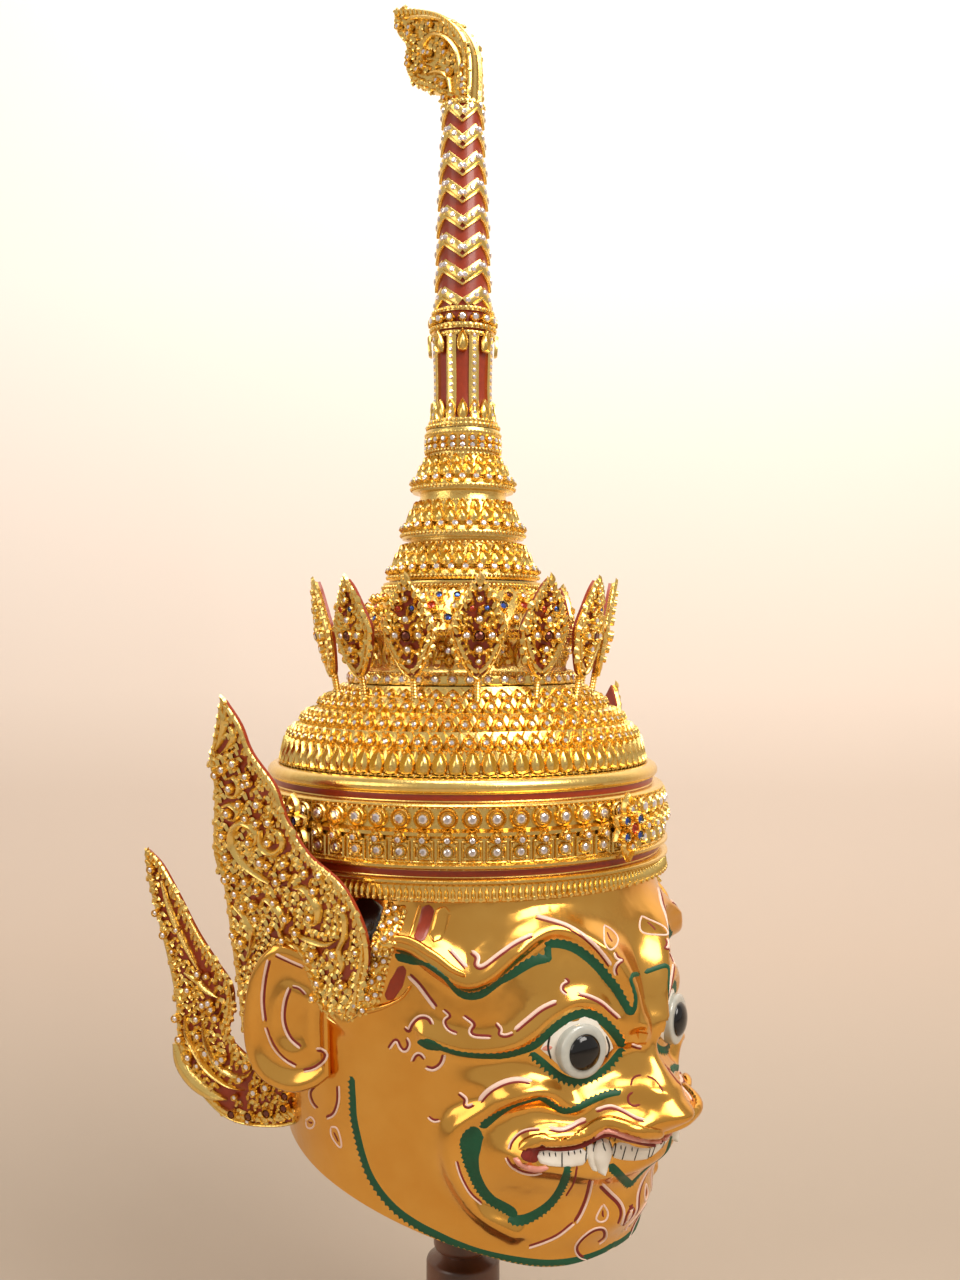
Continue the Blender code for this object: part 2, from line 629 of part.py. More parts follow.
def rear_flame(name, side, cutters):
    """The smaller flame behind an ear: it leaves the nape level and turns up to a point."""
    outer = ((-0.05, -0.06), (0.13, -0.10), (0.37, -0.11), (0.54, -0.07), (0.70, 0.04), (0.79, 0.19),
             (0.80, 0.36), (0.85, 0.54), (0.92, 0.72), (0.98, 0.88))
    inner = ((0.90, 0.94), (0.78, 0.81), (0.66, 0.67), (0.53, 0.55), (0.43, 0.46), (0.42, 0.36),
             (0.46, 0.25), (0.36, 0.18), (0.22, 0.13), (-0.05, 0.10))
    outline = [(x * REAR_FLAME_REACH, z * REAR_FLAME_RISE) for x, z in outer + ((1.0, 1.0),) + inner]
    origin = polar(108.0, 0.92 * HEAD_RADIUS, CHIN_Z + 0.34 * FACE_HEIGHT)
    matrix = frame_matrix(origin, (0.40, 0.915, 0.0), (0.05, 0.0, 1.0))
    bm = plate(outline, REAR_FLAME_THICKNESS, FLAME_EDGE, FLAME_EDGE)
    flame = add_object(name, to_side(bm, matrix, side), CAST_GOLD)
    for cutter in cutters:
        boolean(flame, cutter, "DIFFERENCE")


def stand():
    """The turned stand: a wide foot, a stepped post and the pad that the mask rests on."""
    under_dome = BAND_SEAT_Z - WALL - GAP
    pad_top = under_dome + DOME_HEIGHT
    dome = [(share * COLLAR_RADIUS - (WALL if share else 0.0), under_dome + up * DOME_HEIGHT)
            for share, up in reversed(DOME_FORM)]
    slope = (dome[1][1] - pad_top) / dome[1][0]
    pad_edge = min(PAD_RADIUS, dome[1][0])
    rim_top = pad_top + slope * pad_edge
    profile = (
        (0.0, 0.0), (FOOT_RADIUS, 0.0), (FOOT_RADIUS, 0.55 * FOOT_HEIGHT),
        (0.93 * FOOT_RADIUS, FOOT_HEIGHT), (1.7 * BLOCK_RADIUS, 1.15 * FOOT_HEIGHT),
        (BLOCK_RADIUS, 1.6 * FOOT_HEIGHT), (BLOCK_RADIUS, BLOCK_TOP_Z),
        (0.85 * POST_RADIUS, BLOCK_TOP_Z + 0.25 * (LIP_TOP_Z - BLOCK_TOP_Z)),
        (LIP_RADIUS, BLOCK_TOP_Z + 0.45 * (LIP_TOP_Z - BLOCK_TOP_Z)), (LIP_RADIUS, LIP_TOP_Z),
        (POST_RADIUS, LIP_TOP_Z + LIP_RADIUS - POST_RADIUS), (POST_RADIUS, pad_top - PAD_HEIGHT),
        (pad_edge, pad_top - 0.55 * PAD_HEIGHT), (pad_edge, rim_top), (0.0, pad_top),
    )
    return add_object("wooden_stand", turned(STAND_SIDES, plain(profile)), WOOD)


for old in list(bpy.data.objects):
    bpy.data.objects.remove(old, do_unlink=True)

GOLD_LEAF = new_material("burnished_gold_leaf", GOLD, 0.18, 1.0)
CAST_GOLD = new_material("gilt_cast_ornament", BRIGHT_GOLD, 0.28, 1.0)
EYE_SHELL = new_material("eye_shell", (0.62, 0.64, 0.63), 0.12, 0.0)
WOOD = new_material("turned_wood", (0.16, 0.07, 0.03), 0.45, 0.0)

make_head()
eye("eye_right", -1, EYE_SHELL)
eye("eye_left", 1, EYE_SHELL)
crown_band()
crown_terrace()
crown_drum()
crown_tiers()
crown_spire()
crown_finial()
standing_flames()
band_flowers()
CUTTERS = clearance_bodies()
ear_flame("ear_flame_right", -1, CUTTERS)
ear_flame("ear_flame_left", 1, CUTTERS)
rear_flame("rear_flame_right", -1, CUTTERS)
rear_flame("rear_flame_left", 1, CUTTERS)
stand()
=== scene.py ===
# %% [markdown]
# # A khon demon mask, dressed for the stage
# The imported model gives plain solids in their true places: head, crown stages, flames and stand.
# This lesson keeps those places and makes the surfaces: burnished leaf, cast ornament, glass
# stones, lacquer and brush lines. Every cell adds one thing, says why, and prints what it made.

# %% Load the frame
import math
import random

import bmesh
import bpy
import numpy as np
from mathutils import Matrix, Vector
from mathutils.bvhtree import BVHTree


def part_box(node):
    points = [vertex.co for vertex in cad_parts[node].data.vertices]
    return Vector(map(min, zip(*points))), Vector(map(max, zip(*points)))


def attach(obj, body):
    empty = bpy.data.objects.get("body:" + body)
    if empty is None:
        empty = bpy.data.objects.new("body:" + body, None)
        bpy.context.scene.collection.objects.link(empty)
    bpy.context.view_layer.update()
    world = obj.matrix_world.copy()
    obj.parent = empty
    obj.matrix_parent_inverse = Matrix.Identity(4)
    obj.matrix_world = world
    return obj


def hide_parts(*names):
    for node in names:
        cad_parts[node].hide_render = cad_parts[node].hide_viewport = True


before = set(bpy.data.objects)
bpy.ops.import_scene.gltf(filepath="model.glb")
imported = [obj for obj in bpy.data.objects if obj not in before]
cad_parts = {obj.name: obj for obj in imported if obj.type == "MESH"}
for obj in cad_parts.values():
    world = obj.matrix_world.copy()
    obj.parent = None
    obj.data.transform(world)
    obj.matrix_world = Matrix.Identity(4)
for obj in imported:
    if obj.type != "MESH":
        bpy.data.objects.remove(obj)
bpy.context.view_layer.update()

# %% [markdown]
# ## Colours and nodes
# Colours are picked as the hex codes that a screen shows. Blender's shaders want linear light,
# so one function turns them. A second one adds a node together with its settings and links,
# which keeps each material as short as a recipe.

# %% Helpers for materials
MM = 0.001


def linear(code):
    """A screen colour such as "E8A93C" as linear red, green, blue and alpha."""
    parts = [int(code[i:i + 2], 16) / 255 for i in (0, 2, 4)]
    return [p / 12.92 if p <= 0.04045 else ((p + 0.055) / 1.055) ** 2.4 for p in parts] + [1.0]


def add_node(tree, kind, settings=None, links=None):
    """Add one node. Settings go to its properties or inputs, links to its inputs."""
    made = tree.nodes.new(kind)
    for name, value in (settings or {}).items():
        if isinstance(name, str) and hasattr(made, name):
            setattr(made, name, value)
        else:
            made.inputs[name].default_value = value
    for name, source in (links or {}).items():
        tree.links.new(source, made.inputs[name])
    return made


def new_finish(name, **settings):
    """A material with its Principled shader set by plain values."""
    material = bpy.data.materials.new(name)
    material.use_nodes = True
    tree = material.node_tree
    shader = tree.nodes["Principled BSDF"]
    for setting, value in settings.items():
        shader.inputs[setting.replace("_", " ")].default_value = value
    return material, tree, shader


def mottle(tree, grain, low, high, detail=3.0, stretch=(1, 1, 1)):
    """A soft cloudy value between low and high, with clouds about one grain wide (in mm)."""
    place = add_node(tree, "ShaderNodeTexCoord").outputs["Object"]
    spread = add_node(tree, "ShaderNodeMapping", {"Scale": stretch}, {"Vector": place})
    cloud = add_node(tree, "ShaderNodeTexNoise", {"Scale": 1 / (grain * MM), "Detail": detail},
                     {"Vector": spread.outputs["Vector"]})
    fit = add_node(tree, "ShaderNodeMapRange", {"To Min": low, "To Max": high},
                   {"Value": cloud.outputs["Fac"]})
    return fit.outputs["Result"]


def tint(tree, shader, share, first, second):
    """Colour the shader with a blend of two screen colours."""
    blend = add_node(tree, "ShaderNodeMix", {"data_type": "RGBA"}, {"Factor": share})
    blend.inputs["A"].default_value = linear(first)
    blend.inputs["B"].default_value = linear(second)
    tree.links.new(blend.outputs["Result"], shader.inputs["Base Color"])


def emboss(tree, shader, height, depth):
    """Bump the surface by a height value; depth is in mm."""
    bump = add_node(tree, "ShaderNodeBump", {"Distance": depth * MM, "Strength": 1.0},
                    {"Height": height})
    tree.links.new(bump.outputs["Normal"], shader.inputs["Normal"])


print("helpers ready")

# %% [markdown]
# ## Gold leaf and gilt castings
# The face is paper and lacquer under real gold leaf, rubbed with a stone until it mirrors the
# room. Leaf is laid in squares, so its tone drifts a little, and the lacquer under it is never
# quite flat. The crown's ornament is cast and gilded: yellower, with a softer shine that varies in patches.

# %% Gold finishes


def gilding(name, tones, clouds, gloss, ripple, depth):
    """Gold with slow changes of tone, uneven gloss and a faint ripple, each given as a mottle."""
    material, tree, shader = new_finish(name, Metallic=1.0)
    tint(tree, shader, mottle(tree, *clouds), *tones)
    tree.links.new(mottle(tree, *gloss), shader.inputs["Roughness"])
    emboss(tree, shader, mottle(tree, *ripple), depth)
    return material


GOLD_LEAF = gilding("burnished_gold_leaf", ("F4BE62", "DE9C40"), (24, 0.0, 1.0, 5.0), (9, 0.10, 0.24),
                    (16, 0.0, 1.0, 2.0), 0.60)
GILT = gilding("gilt_casting", ("FBDC8C", "EEC668"), (5, 0.0, 1.0, 4.0), (2.5, 0.14, 0.34),
               (1.2, 0.0, 1.0), 0.10)
print("gold:", GOLD_LEAF.name, GILT.name)

# %% [markdown]
# ## Paints, lacquer and glass
# The brush lines are thick enamel: dark green in broad bands, dark red beside a raised pinkish
# white. Grooves of the crown are filled with clear red-brown lacquer. The stones are foil-backed
# glass: each facet mirrors a different patch of the room, so they are shaded as a hard mirror
# under a clear coat.

# %% Paint and stone finishes


def enamel(name, first, second, roughness, coat=0.0):
    """Brush enamel: a slightly uneven colour with a faint brush texture."""
    material, tree, shader = new_finish(name, Roughness=roughness, Coat_Weight=coat)
    tint(tree, shader, mottle(tree, 3, 0.0, 1.0), first, second)
    emboss(tree, shader, mottle(tree, 0.8, 0.0, 1.0), 0.04)
    return material


def foiled_glass(name, code, roughness=0.04):
    """Foil-backed cut glass, which mirrors like metal under a clear coat."""
    material, tree, shader = new_finish(name, Metallic=0.85, Coat_Weight=1.0)
    shader.inputs["Base Color"].default_value = linear(code)
    tree.links.new(mottle(tree, 4, roughness, 3 * roughness), shader.inputs["Roughness"])
    return material


GREEN = enamel("green_enamel", "00482A", "045433", 0.55)
RED_LINE = enamel("dark_red_enamel", "74160A", "8A2210", 0.62)
PINK_LINE = enamel("pink_white_enamel", "EEC8B6", "F8DCCE", 0.34, 0.2)
LIP_PINK = enamel("lip_pink_enamel", "D98674", "E8A391", 0.32, 0.3)
RED_LACQUER = enamel("red_brown_lacquer", "A63608", "822605", 0.36, 0.2)
# Black lacquer, also used for painted shade: the gap beside the frame strip and the gaps between the teeth
BLACK_LACQUER_AND_PAINTED_SHADE = enamel("black_lacquer", "0B0A09", "15120F", 0.20, 0.6)
TOOTH = enamel("tooth_enamel", "E9E2D2", "F4EFE4", 0.28, 0.4)
SHELL = enamel("polished_shell", "AEB0A8", "C6C6BC", 0.16, 0.8)
IRIS = enamel("black_glass", "040405", "070709", 0.07, 0.2)
CLEAR_STONE = foiled_glass("clear_rhinestone", "F3EAEC")
BLUE_STONE = foiled_glass("blue_rhinestone", "3A5FC8")
RED_STONE = foiled_glass("red_rhinestone", "C8391C")
AMBER_STONE = foiled_glass("garnet_rhinestone", "6E2A16")
print("finishes:", len(bpy.data.materials))


# %% [markdown]
# ## Turned wood
# The stand is a turned hardwood post with a dark stain. Its rings of growth run round the axis,
# so the pattern is a ring wave, bent by noise and stretched along the grain.

# %% Wood finish
GROWTH_RING = 8
# The wave texture fits this many waves in its own unit
WAVES_IN_UNIT = 20


def turned_wood():
    """Dark stained hardwood with growth rings and fine pores along the grain."""
    material, tree, shader = new_finish("stained_hardwood", Coat_Weight=0.35)
    place = add_node(tree, "ShaderNodeTexCoord").outputs["Object"]
    stretch = add_node(tree, "ShaderNodeMapping", {"Scale": (1, 1, 0.12), "Location": (0.03, 0.02, 0)},
                       {"Vector": place})
    rings = add_node(tree, "ShaderNodeTexWave",
                     {"wave_type": "RINGS", "rings_direction": "Z",
                      "Scale": 1 / (GROWTH_RING * MM) / WAVES_IN_UNIT,
                      "Distortion": 6.0, "Detail": 4.0, "Detail Scale": 1.5},
                     {"Vector": stretch.outputs["Vector"]})
    tint(tree, shader, rings.outputs["Fac"], "3A1E10", "6B3D22")
    tree.links.new(mottle(tree, 3, 0.28, 0.48, stretch=(1, 1, 0.1)), shader.inputs["Roughness"])
    emboss(tree, shader, mottle(tree, 0.9, 0.0, 1.0, stretch=(1, 1, 0.05)), 0.08)
    return material


WOOD = turned_wood()
print("wood:", WOOD.name)

# %% [markdown]
# ## The camera
# It stands level, 70 cm from the mask's axis, and looks at the mask's own right cheek, so the
# face turns to the picture's right. It is made first, because the painted lines are placed
# through it: a point of the photograph becomes a ray, and the ray meets the carved face.

# %% Camera
CAMERA_DISTANCE = 0.700
CAMERA_HEIGHT = 0.448
CAMERA_SLIDE = 0.0093
CAMERA_TURN = -45.0
IMAGE_WIDTH = 960
IMAGE_HEIGHT = 1280
FOCAL = 36.0
SENSOR = 36.0

look = Vector((math.sin(math.radians(-CAMERA_TURN)), math.cos(math.radians(CAMERA_TURN)), 0.0))
rightward = Vector((look.y, -look.x, 0.0))
camera_data = bpy.data.cameras.new("camera")
camera_data.lens = FOCAL
camera_data.sensor_width = SENSOR
camera = bpy.data.objects.new("camera", camera_data)
camera.location = -CAMERA_DISTANCE * look + CAMERA_SLIDE * rightward + Vector((0, 0, CAMERA_HEIGHT))
camera.rotation_euler = look.to_track_quat("-Z", "Y").to_euler()
bpy.context.collection.objects.link(camera)
bpy.context.scene.camera = camera


def pixel_ray(x, y):
    """Direction from the camera through a point of the 960 x 1280 picture."""
    across = (float(x) - IMAGE_WIDTH / 2) / (IMAGE_HEIGHT * FOCAL / SENSOR)
    down = (float(y) - IMAGE_HEIGHT / 2) / (IMAGE_HEIGHT * FOCAL / SENSOR)
    return (look + across * rightward - down * Vector((0, 0, 1))).normalized()


print("camera at", [round(v, 3) for v in camera.location])

# %% [markdown]
# ## Room and light
# A floor that curves up into a wall gives a warm background, with painted shade that darkens it
# towards the floor. One large soft light stands high at the right, a weaker one fills from the left,
# and a pale room colour does the rest: polished gold shows little of itself and mostly what surrounds it.

# %% Stage
FLOOR_SIZE = 3.0
WALL_BACK = 0.55
WALL_BEND = 0.30
BEND_STEPS = 16
# Painted shade of the wall, darker at the floor and paler up the wall: height in metres and colour
WALL_PAINTED_SHADE = ((0.0, "B6A898"), (0.15, "D2C0AF"), (0.40, "F0E2D6"), (0.80, "F8F1EB"))
# Light, its place and its target (across the view, towards the camera, up), size, power and colour
LIGHTS = (
    ("key", (0.75, 0.80, 1.45), (0, 0, 0.35), 0.85, 19, "FFF8F0"),
    ("fill", (-1.1, 0.8, 0.9), (0, 0, 0.4), 0.8, 4, "FFF4E8"),
    ("wall_wash", (0.0, 0.15, 1.75), (0.0, -0.6, 0.9), 0.7, 9, "FFFDFA"),
)
ROOM_TONE = "FBF3EA"
ROOM_STRENGTH = 0.52


def make_stage():
    """Floor and wall in one bent sheet, square to the camera, with painted shade that darkens it towards the
    floor.
    """
    bm = bmesh.new()
    near = [bm.verts.new((side * FLOOR_SIZE, -FLOOR_SIZE, 0.0)) for side in (-1, 1)]
    edge = bm.edges.new(near)
    moves = [Vector((0, FLOOR_SIZE + WALL_BACK - WALL_BEND, 0))]
    for step in range(BEND_STEPS):
        turn = 0.5 * math.pi * (step + 0.5) / BEND_STEPS
        length = 0.5 * math.pi * WALL_BEND / BEND_STEPS
        moves.append(length * Vector((0, math.cos(turn), math.sin(turn))))
    moves.append(Vector((0, 0, FLOOR_SIZE)))
    for move in moves:
        grown = bmesh.ops.extrude_edge_only(bm, edges=[edge])["geom"]
        edge = [item for item in grown if isinstance(item, bmesh.types.BMEdge)
                and all(vert in grown for vert in item.verts)][0]
        bmesh.ops.translate(bm, vec=move, verts=list(edge.verts))
    bmesh.ops.recalc_face_normals(bm, faces=bm.faces)
    turn = Matrix.Rotation(math.radians(CAMERA_TURN), 3, "Z")
    bmesh.ops.rotate(bm, cent=(0, 0, 0), matrix=turn, verts=bm.verts)
    mesh = bpy.data.meshes.new("studio_sweep")
    bm.to_mesh(mesh)
    bm.free()
    mesh.shade_smooth()
    material, tree, shader = new_finish("plaster_with_painted_shade", Roughness=0.9)
    place = add_node(tree, "ShaderNodeTexCoord")
    parts = add_node(tree, "ShaderNodeSeparateXYZ")
    tree.links.new(place.outputs["Object"], parts.inputs["Vector"])
    # Painted shade: the wall's colour climbs from dark at the floor to pale high up
    painted_shade_ramp = add_node(tree, "ShaderNodeValToRGB")
    while len(painted_shade_ramp.color_ramp.elements) < len(WALL_PAINTED_SHADE):
        painted_shade_ramp.color_ramp.elements.new(1.0)
    for element, (height, code) in zip(painted_shade_ramp.color_ramp.elements, WALL_PAINTED_SHADE):
        element.position = height
        element.color = linear(code)
    tree.links.new(parts.outputs["Z"], painted_shade_ramp.inputs["Fac"])
    tree.links.new(painted_shade_ramp.outputs["Color"], shader.inputs["Base Color"])
    mesh.materials.append(material)
    sweep = bpy.data.objects.new("studio_sweep", mesh)
    bpy.context.collection.objects.link(sweep)


def soft_light(name, place, target, size, power, code):
    """A square area light, aimed at a point."""
    data = bpy.data.lights.new(name, "AREA")
    data.size = size
    data.energy = power
    data.color = linear(code)[:3]
    lamp = bpy.data.objects.new(name, data)
    lamp.location = place
    lamp.rotation_euler = (Vector(target) - Vector(place)).to_track_quat("-Z", "Y").to_euler()
    bpy.context.collection.objects.link(lamp)


def stage_point(across, towards, up):
    """A point given from the camera's side: across its view, towards it, and up."""
    return across * rightward - towards * look + Vector((0, 0, up))


make_stage()
for name, place, target, size, power, code in LIGHTS:
    soft_light(name, stage_point(*place), stage_point(*target), size, power, code)
world = bpy.data.worlds.new("room")
world.use_nodes = True
world.node_tree.nodes["Background"].inputs["Color"].default_value = linear(ROOM_TONE)
world.node_tree.nodes["Background"].inputs["Strength"].default_value = ROOM_STRENGTH
bpy.context.scene.world = world
bpy.context.scene.view_settings.view_transform = "Standard"
print("stage and lights ready")

# %% [markdown]
# ## From a bmesh to a piece
# Every piece ends the same way: its mesh is shaded, gets its finish and rides on the mask's one
# body. The place stays in the mesh, so the object itself sits at the origin.

# %% Finish a piece
# Edges that turn by more degrees than this stay sharp, for each kind of surface
SKIN_CREASE = 50
PAINT_CREASE = 60
EYE_CREASE = 40
CASTING_CREASE = 47
STONE_CREASE = 12


def make_piece(name, bm, material, crease, nodes=()):
    """Turn a bmesh into a shaded piece of the mask."""
    mesh = bpy.data.meshes.new(name)
    bm.to_mesh(mesh)
    bm.free()
    mesh.shade_smooth()
    mesh.set_sharp_from_angle(angle=math.radians(crease))
    mesh.materials.append(material)
    piece = bpy.data.objects.new(name, mesh)
    bpy.context.collection.objects.link(piece)
    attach(piece, "root")
    if nodes:
        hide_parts(*nodes)
    triangles = sum(len(face.vertices) - 2 for face in mesh.polygons)
    print(name, "triangles:", triangles)


def polar(angle, radius, z):
    """A point at an angle from the front, going round to the mask's own left."""
    turn = math.radians(angle)
    return Vector((math.sin(turn) * radius, -math.cos(turn) * radius, z))


def wrapped_grid(places):
    """A closed skin from rows of points: each row goes once round, and the rows run end to end."""
    rows, columns = places.shape[:2]
    bm = bmesh.new()
    bmesh.ops.create_grid(bm, x_segments=columns, y_segments=rows - 1, size=0.5)
    for vert in bm.verts:
        column = round((vert.co.x + 0.5) * columns) % columns
        row = round((vert.co.y + 0.5) * (rows - 1))
        vert.co = places[row, column]
    bmesh.ops.remove_doubles(bm, verts=bm.verts, dist=0.01 * MM)
    bmesh.ops.recalc_face_normals(bm, faces=bm.faces)
    return bm


def mirror_copy(bm):
    """Add the mirror image across the mask's middle plane."""
    copy = bmesh.ops.duplicate(bm, geom=bm.verts[:] + bm.edges[:] + bm.faces[:])["geom"]
    bmesh.ops.scale(bm, vec=(-1, 1, 1), verts=[g for g in copy if isinstance(g, bmesh.types.BMVert)])
    bmesh.ops.reverse_faces(bm, faces=[g for g in copy if isinstance(g, bmesh.types.BMFace)])
    return bm


def to_template(bm):
    """Keep a small shape as a mesh that can be stamped many times."""
    mesh = bpy.data.meshes.new("template")
    bm.to_mesh(mesh)
    bm.free()
    return mesh


def join(bm, other, place=Matrix.Identity(4)):
    """Add one bmesh to another, at a place, and free it."""
    mesh = to_template(other)
    mesh.transform(place)
    bm.from_mesh(mesh)
    bpy.data.meshes.remove(mesh)


print("piece makers ready")

# %% [markdown]
# ## The head's form
# The head is a radius for every angle and height: a plain helmet, wider at the front, with the
# carving added on top. Lines of carving are ridges with a soft forehead side and a steep under
# side, as a carver cuts a brow, and the eyes, cheeks, chin and nose wings are mounds.

# %% Head form
CHIN_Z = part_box("mask_head")[0].z
BAND_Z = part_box("crown_band")[0].z
FACE_HEIGHT = BAND_Z - CHIN_Z
HEAD_RADIUS = 0.104
SIDE_FORM = ((0.0, 0.865), (0.22, 0.905), (0.39, 0.95), (0.61, 0.99), (0.84, 1.0), (1.0, 1.0))
FRONT_FORM = (
    (0.0, 1.00), (0.10, 1.075), (0.20, 1.11), (0.27, 1.19), (0.33, 1.235), (0.39, 1.215),
    (0.47, 1.16), (0.56, 1.14), (0.65, 1.16), (0.80, 1.15), (0.90, 1.085), (1.0, 1.01),
)
FRONT_SPREAD = 38.0
RIM_FORM = ((0, 0.0), (20, 0.0), (45, 0.06), (90, 0.175), (120, 0.24), (180, 0.27))
BROW_LINE = (
    (66, 0.905), (57, 0.885), (50, 0.835), (44, 0.80), (39, 0.815), (33, 0.87), (27, 0.915),
    (21, 0.93), (14, 0.90), (9, 0.84), (6, 0.76), (4, 0.67),
)
LID_LINE = (
    (54, 0.65), (44, 0.62), (34, 0.63), (29, 0.66), (24, 0.71), (18, 0.74), (11, 0.71), (5, 0.62),
)
CHEEK_LINE = (
    (5, 0.50), (13, 0.49), (19, 0.47), (25, 0.51), (31, 0.51), (38, 0.47), (46, 0.41),
    (48, 0.33), (45, 0.24), (39, 0.16), (31, 0.11),
)
LIP_LINE = ((31, 0.35), (29, 0.39), (24, 0.40), (18, 0.40), (13, 0.42), (8, 0.39), (0, 0.35))
JAW_LINE = ((27, 0.32), (21, 0.30), (15, 0.28), (8, 0.27), (0, 0.27))
FRAME_LINE = ((62, 1.0), (64, 0.92), (66, 0.83), (70, 0.72), (75, 0.66), (81, 0.68))
# Carved line, height, width above the line and width below it, in shares of the face's height
RIDGES = (
    (BROW_LINE, 0.052, 0.050, 0.024), (LID_LINE, 0.022, 0.030, 0.022),
    (CHEEK_LINE, 0.030, 0.030, 0.026), (LIP_LINE, 0.034, 0.026, 0.020),
    (JAW_LINE, 0.014, 0.022, 0.022), (FRAME_LINE, 0.022, 0.040, 0.040),
)
EYE_ANGLE = 17.3
EYE_SHARE = 0.612
# Mounds: centre, height, width and tallness
MOUNDS = (
    ((EYE_ANGLE, EYE_SHARE), 0.026, 0.085, 0.080), ((32, 0.33), 0.022, 0.090, 0.085),
    ((34, 0.52), 0.030, 0.090, 0.045), ((0, 0.12), 0.020, 0.110, 0.060),
    ((9.5, 0.43), 0.050, 0.048, 0.042),
)
NOSE_RISE = ((0.36, 0.0), (0.40, 0.10), (0.43, 0.155), (0.48, 0.135), (0.62, 0.04), (0.72, 0.0))
NOSE_WIDTH = ((0.40, 8.0), (0.46, 7.0), (0.60, 4.5))
RELIEF_FADE = 8.0


def smooth_curve(points, value):
    """A smooth line through (place, height) points, level past both ends, for arrays."""
    x, y = np.array(points, float).T
    slope = np.gradient(y, x)
    slope[[0, -1]] = 0.0
    spot = np.clip(np.searchsorted(x, value, side="right") - 1, 0, len(x) - 2)
    step = x[spot + 1] - x[spot]
    t = np.clip((value - x[spot]) / step, 0, 1)
    start = (1 + 2 * t) * (1 - t) ** 2 * y[spot] + t * (1 - t) ** 2 * step * slope[spot]
    end = t * t * (3 - 2 * t) * y[spot + 1] + t * t * (t - 1) * step * slope[spot + 1]
    return start + end


def rounded(points, steps):
    """A rounded path through points: a Catmull-Rom curve with a number of steps to each span."""
    points = [np.array(point, float) for point in points]
    points = [2 * points[0] - points[1]] + points + [2 * points[-1] - points[-2]]
    path = []
    for a, b, c, d in zip(points, points[1:], points[2:], points[3:]):
        for step in range(steps):
            t = step / steps
            path.append(0.5 * (2 * b + (c - a) * t + (2 * a - 5 * b + 4 * c - d) * t * t
                               + (3 * b - a - 3 * c + d) * t ** 3))
    path.append(points[-2])
    return np.array(path)


def on_sheet(angle, share):
    """A face place, flattened to metres across and up."""
    return np.radians(angle) * HEAD_RADIUS, share * FACE_HEIGHT


def signed_distance(line, x, y):
    """Distance of every place to a line of the face: above 0 on its left, below 0 on its right."""
    ends_x, ends_y = on_sheet(*rounded(line, 6).T)
    best = np.full(x.shape, 1.0)
    sign = np.ones(x.shape)
    for x0, y0, x1, y1 in zip(ends_x, ends_y, ends_x[1:], ends_y[1:]):
        dx, dy = x1 - x0, y1 - y0
        along = np.clip(((x - x0) * dx + (y - y0) * dy) / (dx * dx + dy * dy), 0, 1)
        away = np.hypot(x - x0 - along * dx, y - y0 - along * dy)
        nearer = away < best
        best[nearer] = away[nearer]
        sign[nearer] = np.sign((dx * (y - y0) - dy * (x - x0)))[nearer]
    return best * sign


def carving(angle, share):
    """How far the carving stands off the plain form, in shares of the face's height."""
    side = np.abs(angle)
    x, y = on_sheet(side, share)
    bump = smooth_curve(NOSE_RISE, share) * np.exp(-((side / smooth_curve(NOSE_WIDTH, share)) ** 2))
    for line, height, above, below in RIDGES:
        away = signed_distance(line, x, y) / FACE_HEIGHT
        width = np.where(away < 0, above, below)
        bump += height * np.exp(-((away / width) ** 2))
    for (centre_angle, centre_share), height, wide, tall in MOUNDS:
        cx, cy = on_sheet(centre_angle, centre_share)
        bump += height * np.exp(-(((x - cx) / (wide * FACE_HEIGHT)) ** 2)
                                - ((y - cy) / (tall * FACE_HEIGHT)) ** 2)
    return bump


def head_radius(angle, share):
    """Distance of the plain helmet's outer face from the axis."""
    side = smooth_curve(SIDE_FORM, share) * HEAD_RADIUS
    front = smooth_curve(FRONT_FORM, share) * HEAD_RADIUS
    return side + (front - side) * np.exp(-((angle / FRONT_SPREAD) ** 2))


print("face height", round(FACE_HEIGHT * 1000, 1), "mm")

# %% [markdown]
# ## The head
# A grid wrapped round the axis makes the whole helmet in one skin: down the outside, under the
# rim and up the inside. Columns are about two thirds of a degree apart over the face, where the
# carving is, and wider behind. The helmet's wall is 4 mm of paper and lacquer.

# %% Head skin
WALL = 0.004
COLLAR = 0.098
DOME_TOP = BAND_Z + 0.054
DOME_FORM = ((0.0, 1.0), (0.60, 0.93), (0.83, 0.86), (0.95, 0.74), (1.0, 0.58), (1.0, 0.0))
FINE_STEP = 0.64
FINE_REACH = 84.0
COARSE_STEP = 2.4
FACE_ROWS = 190
INSIDE_SHARES = (0.0, 0.2, 0.4, 0.6, 0.8, 1.0)


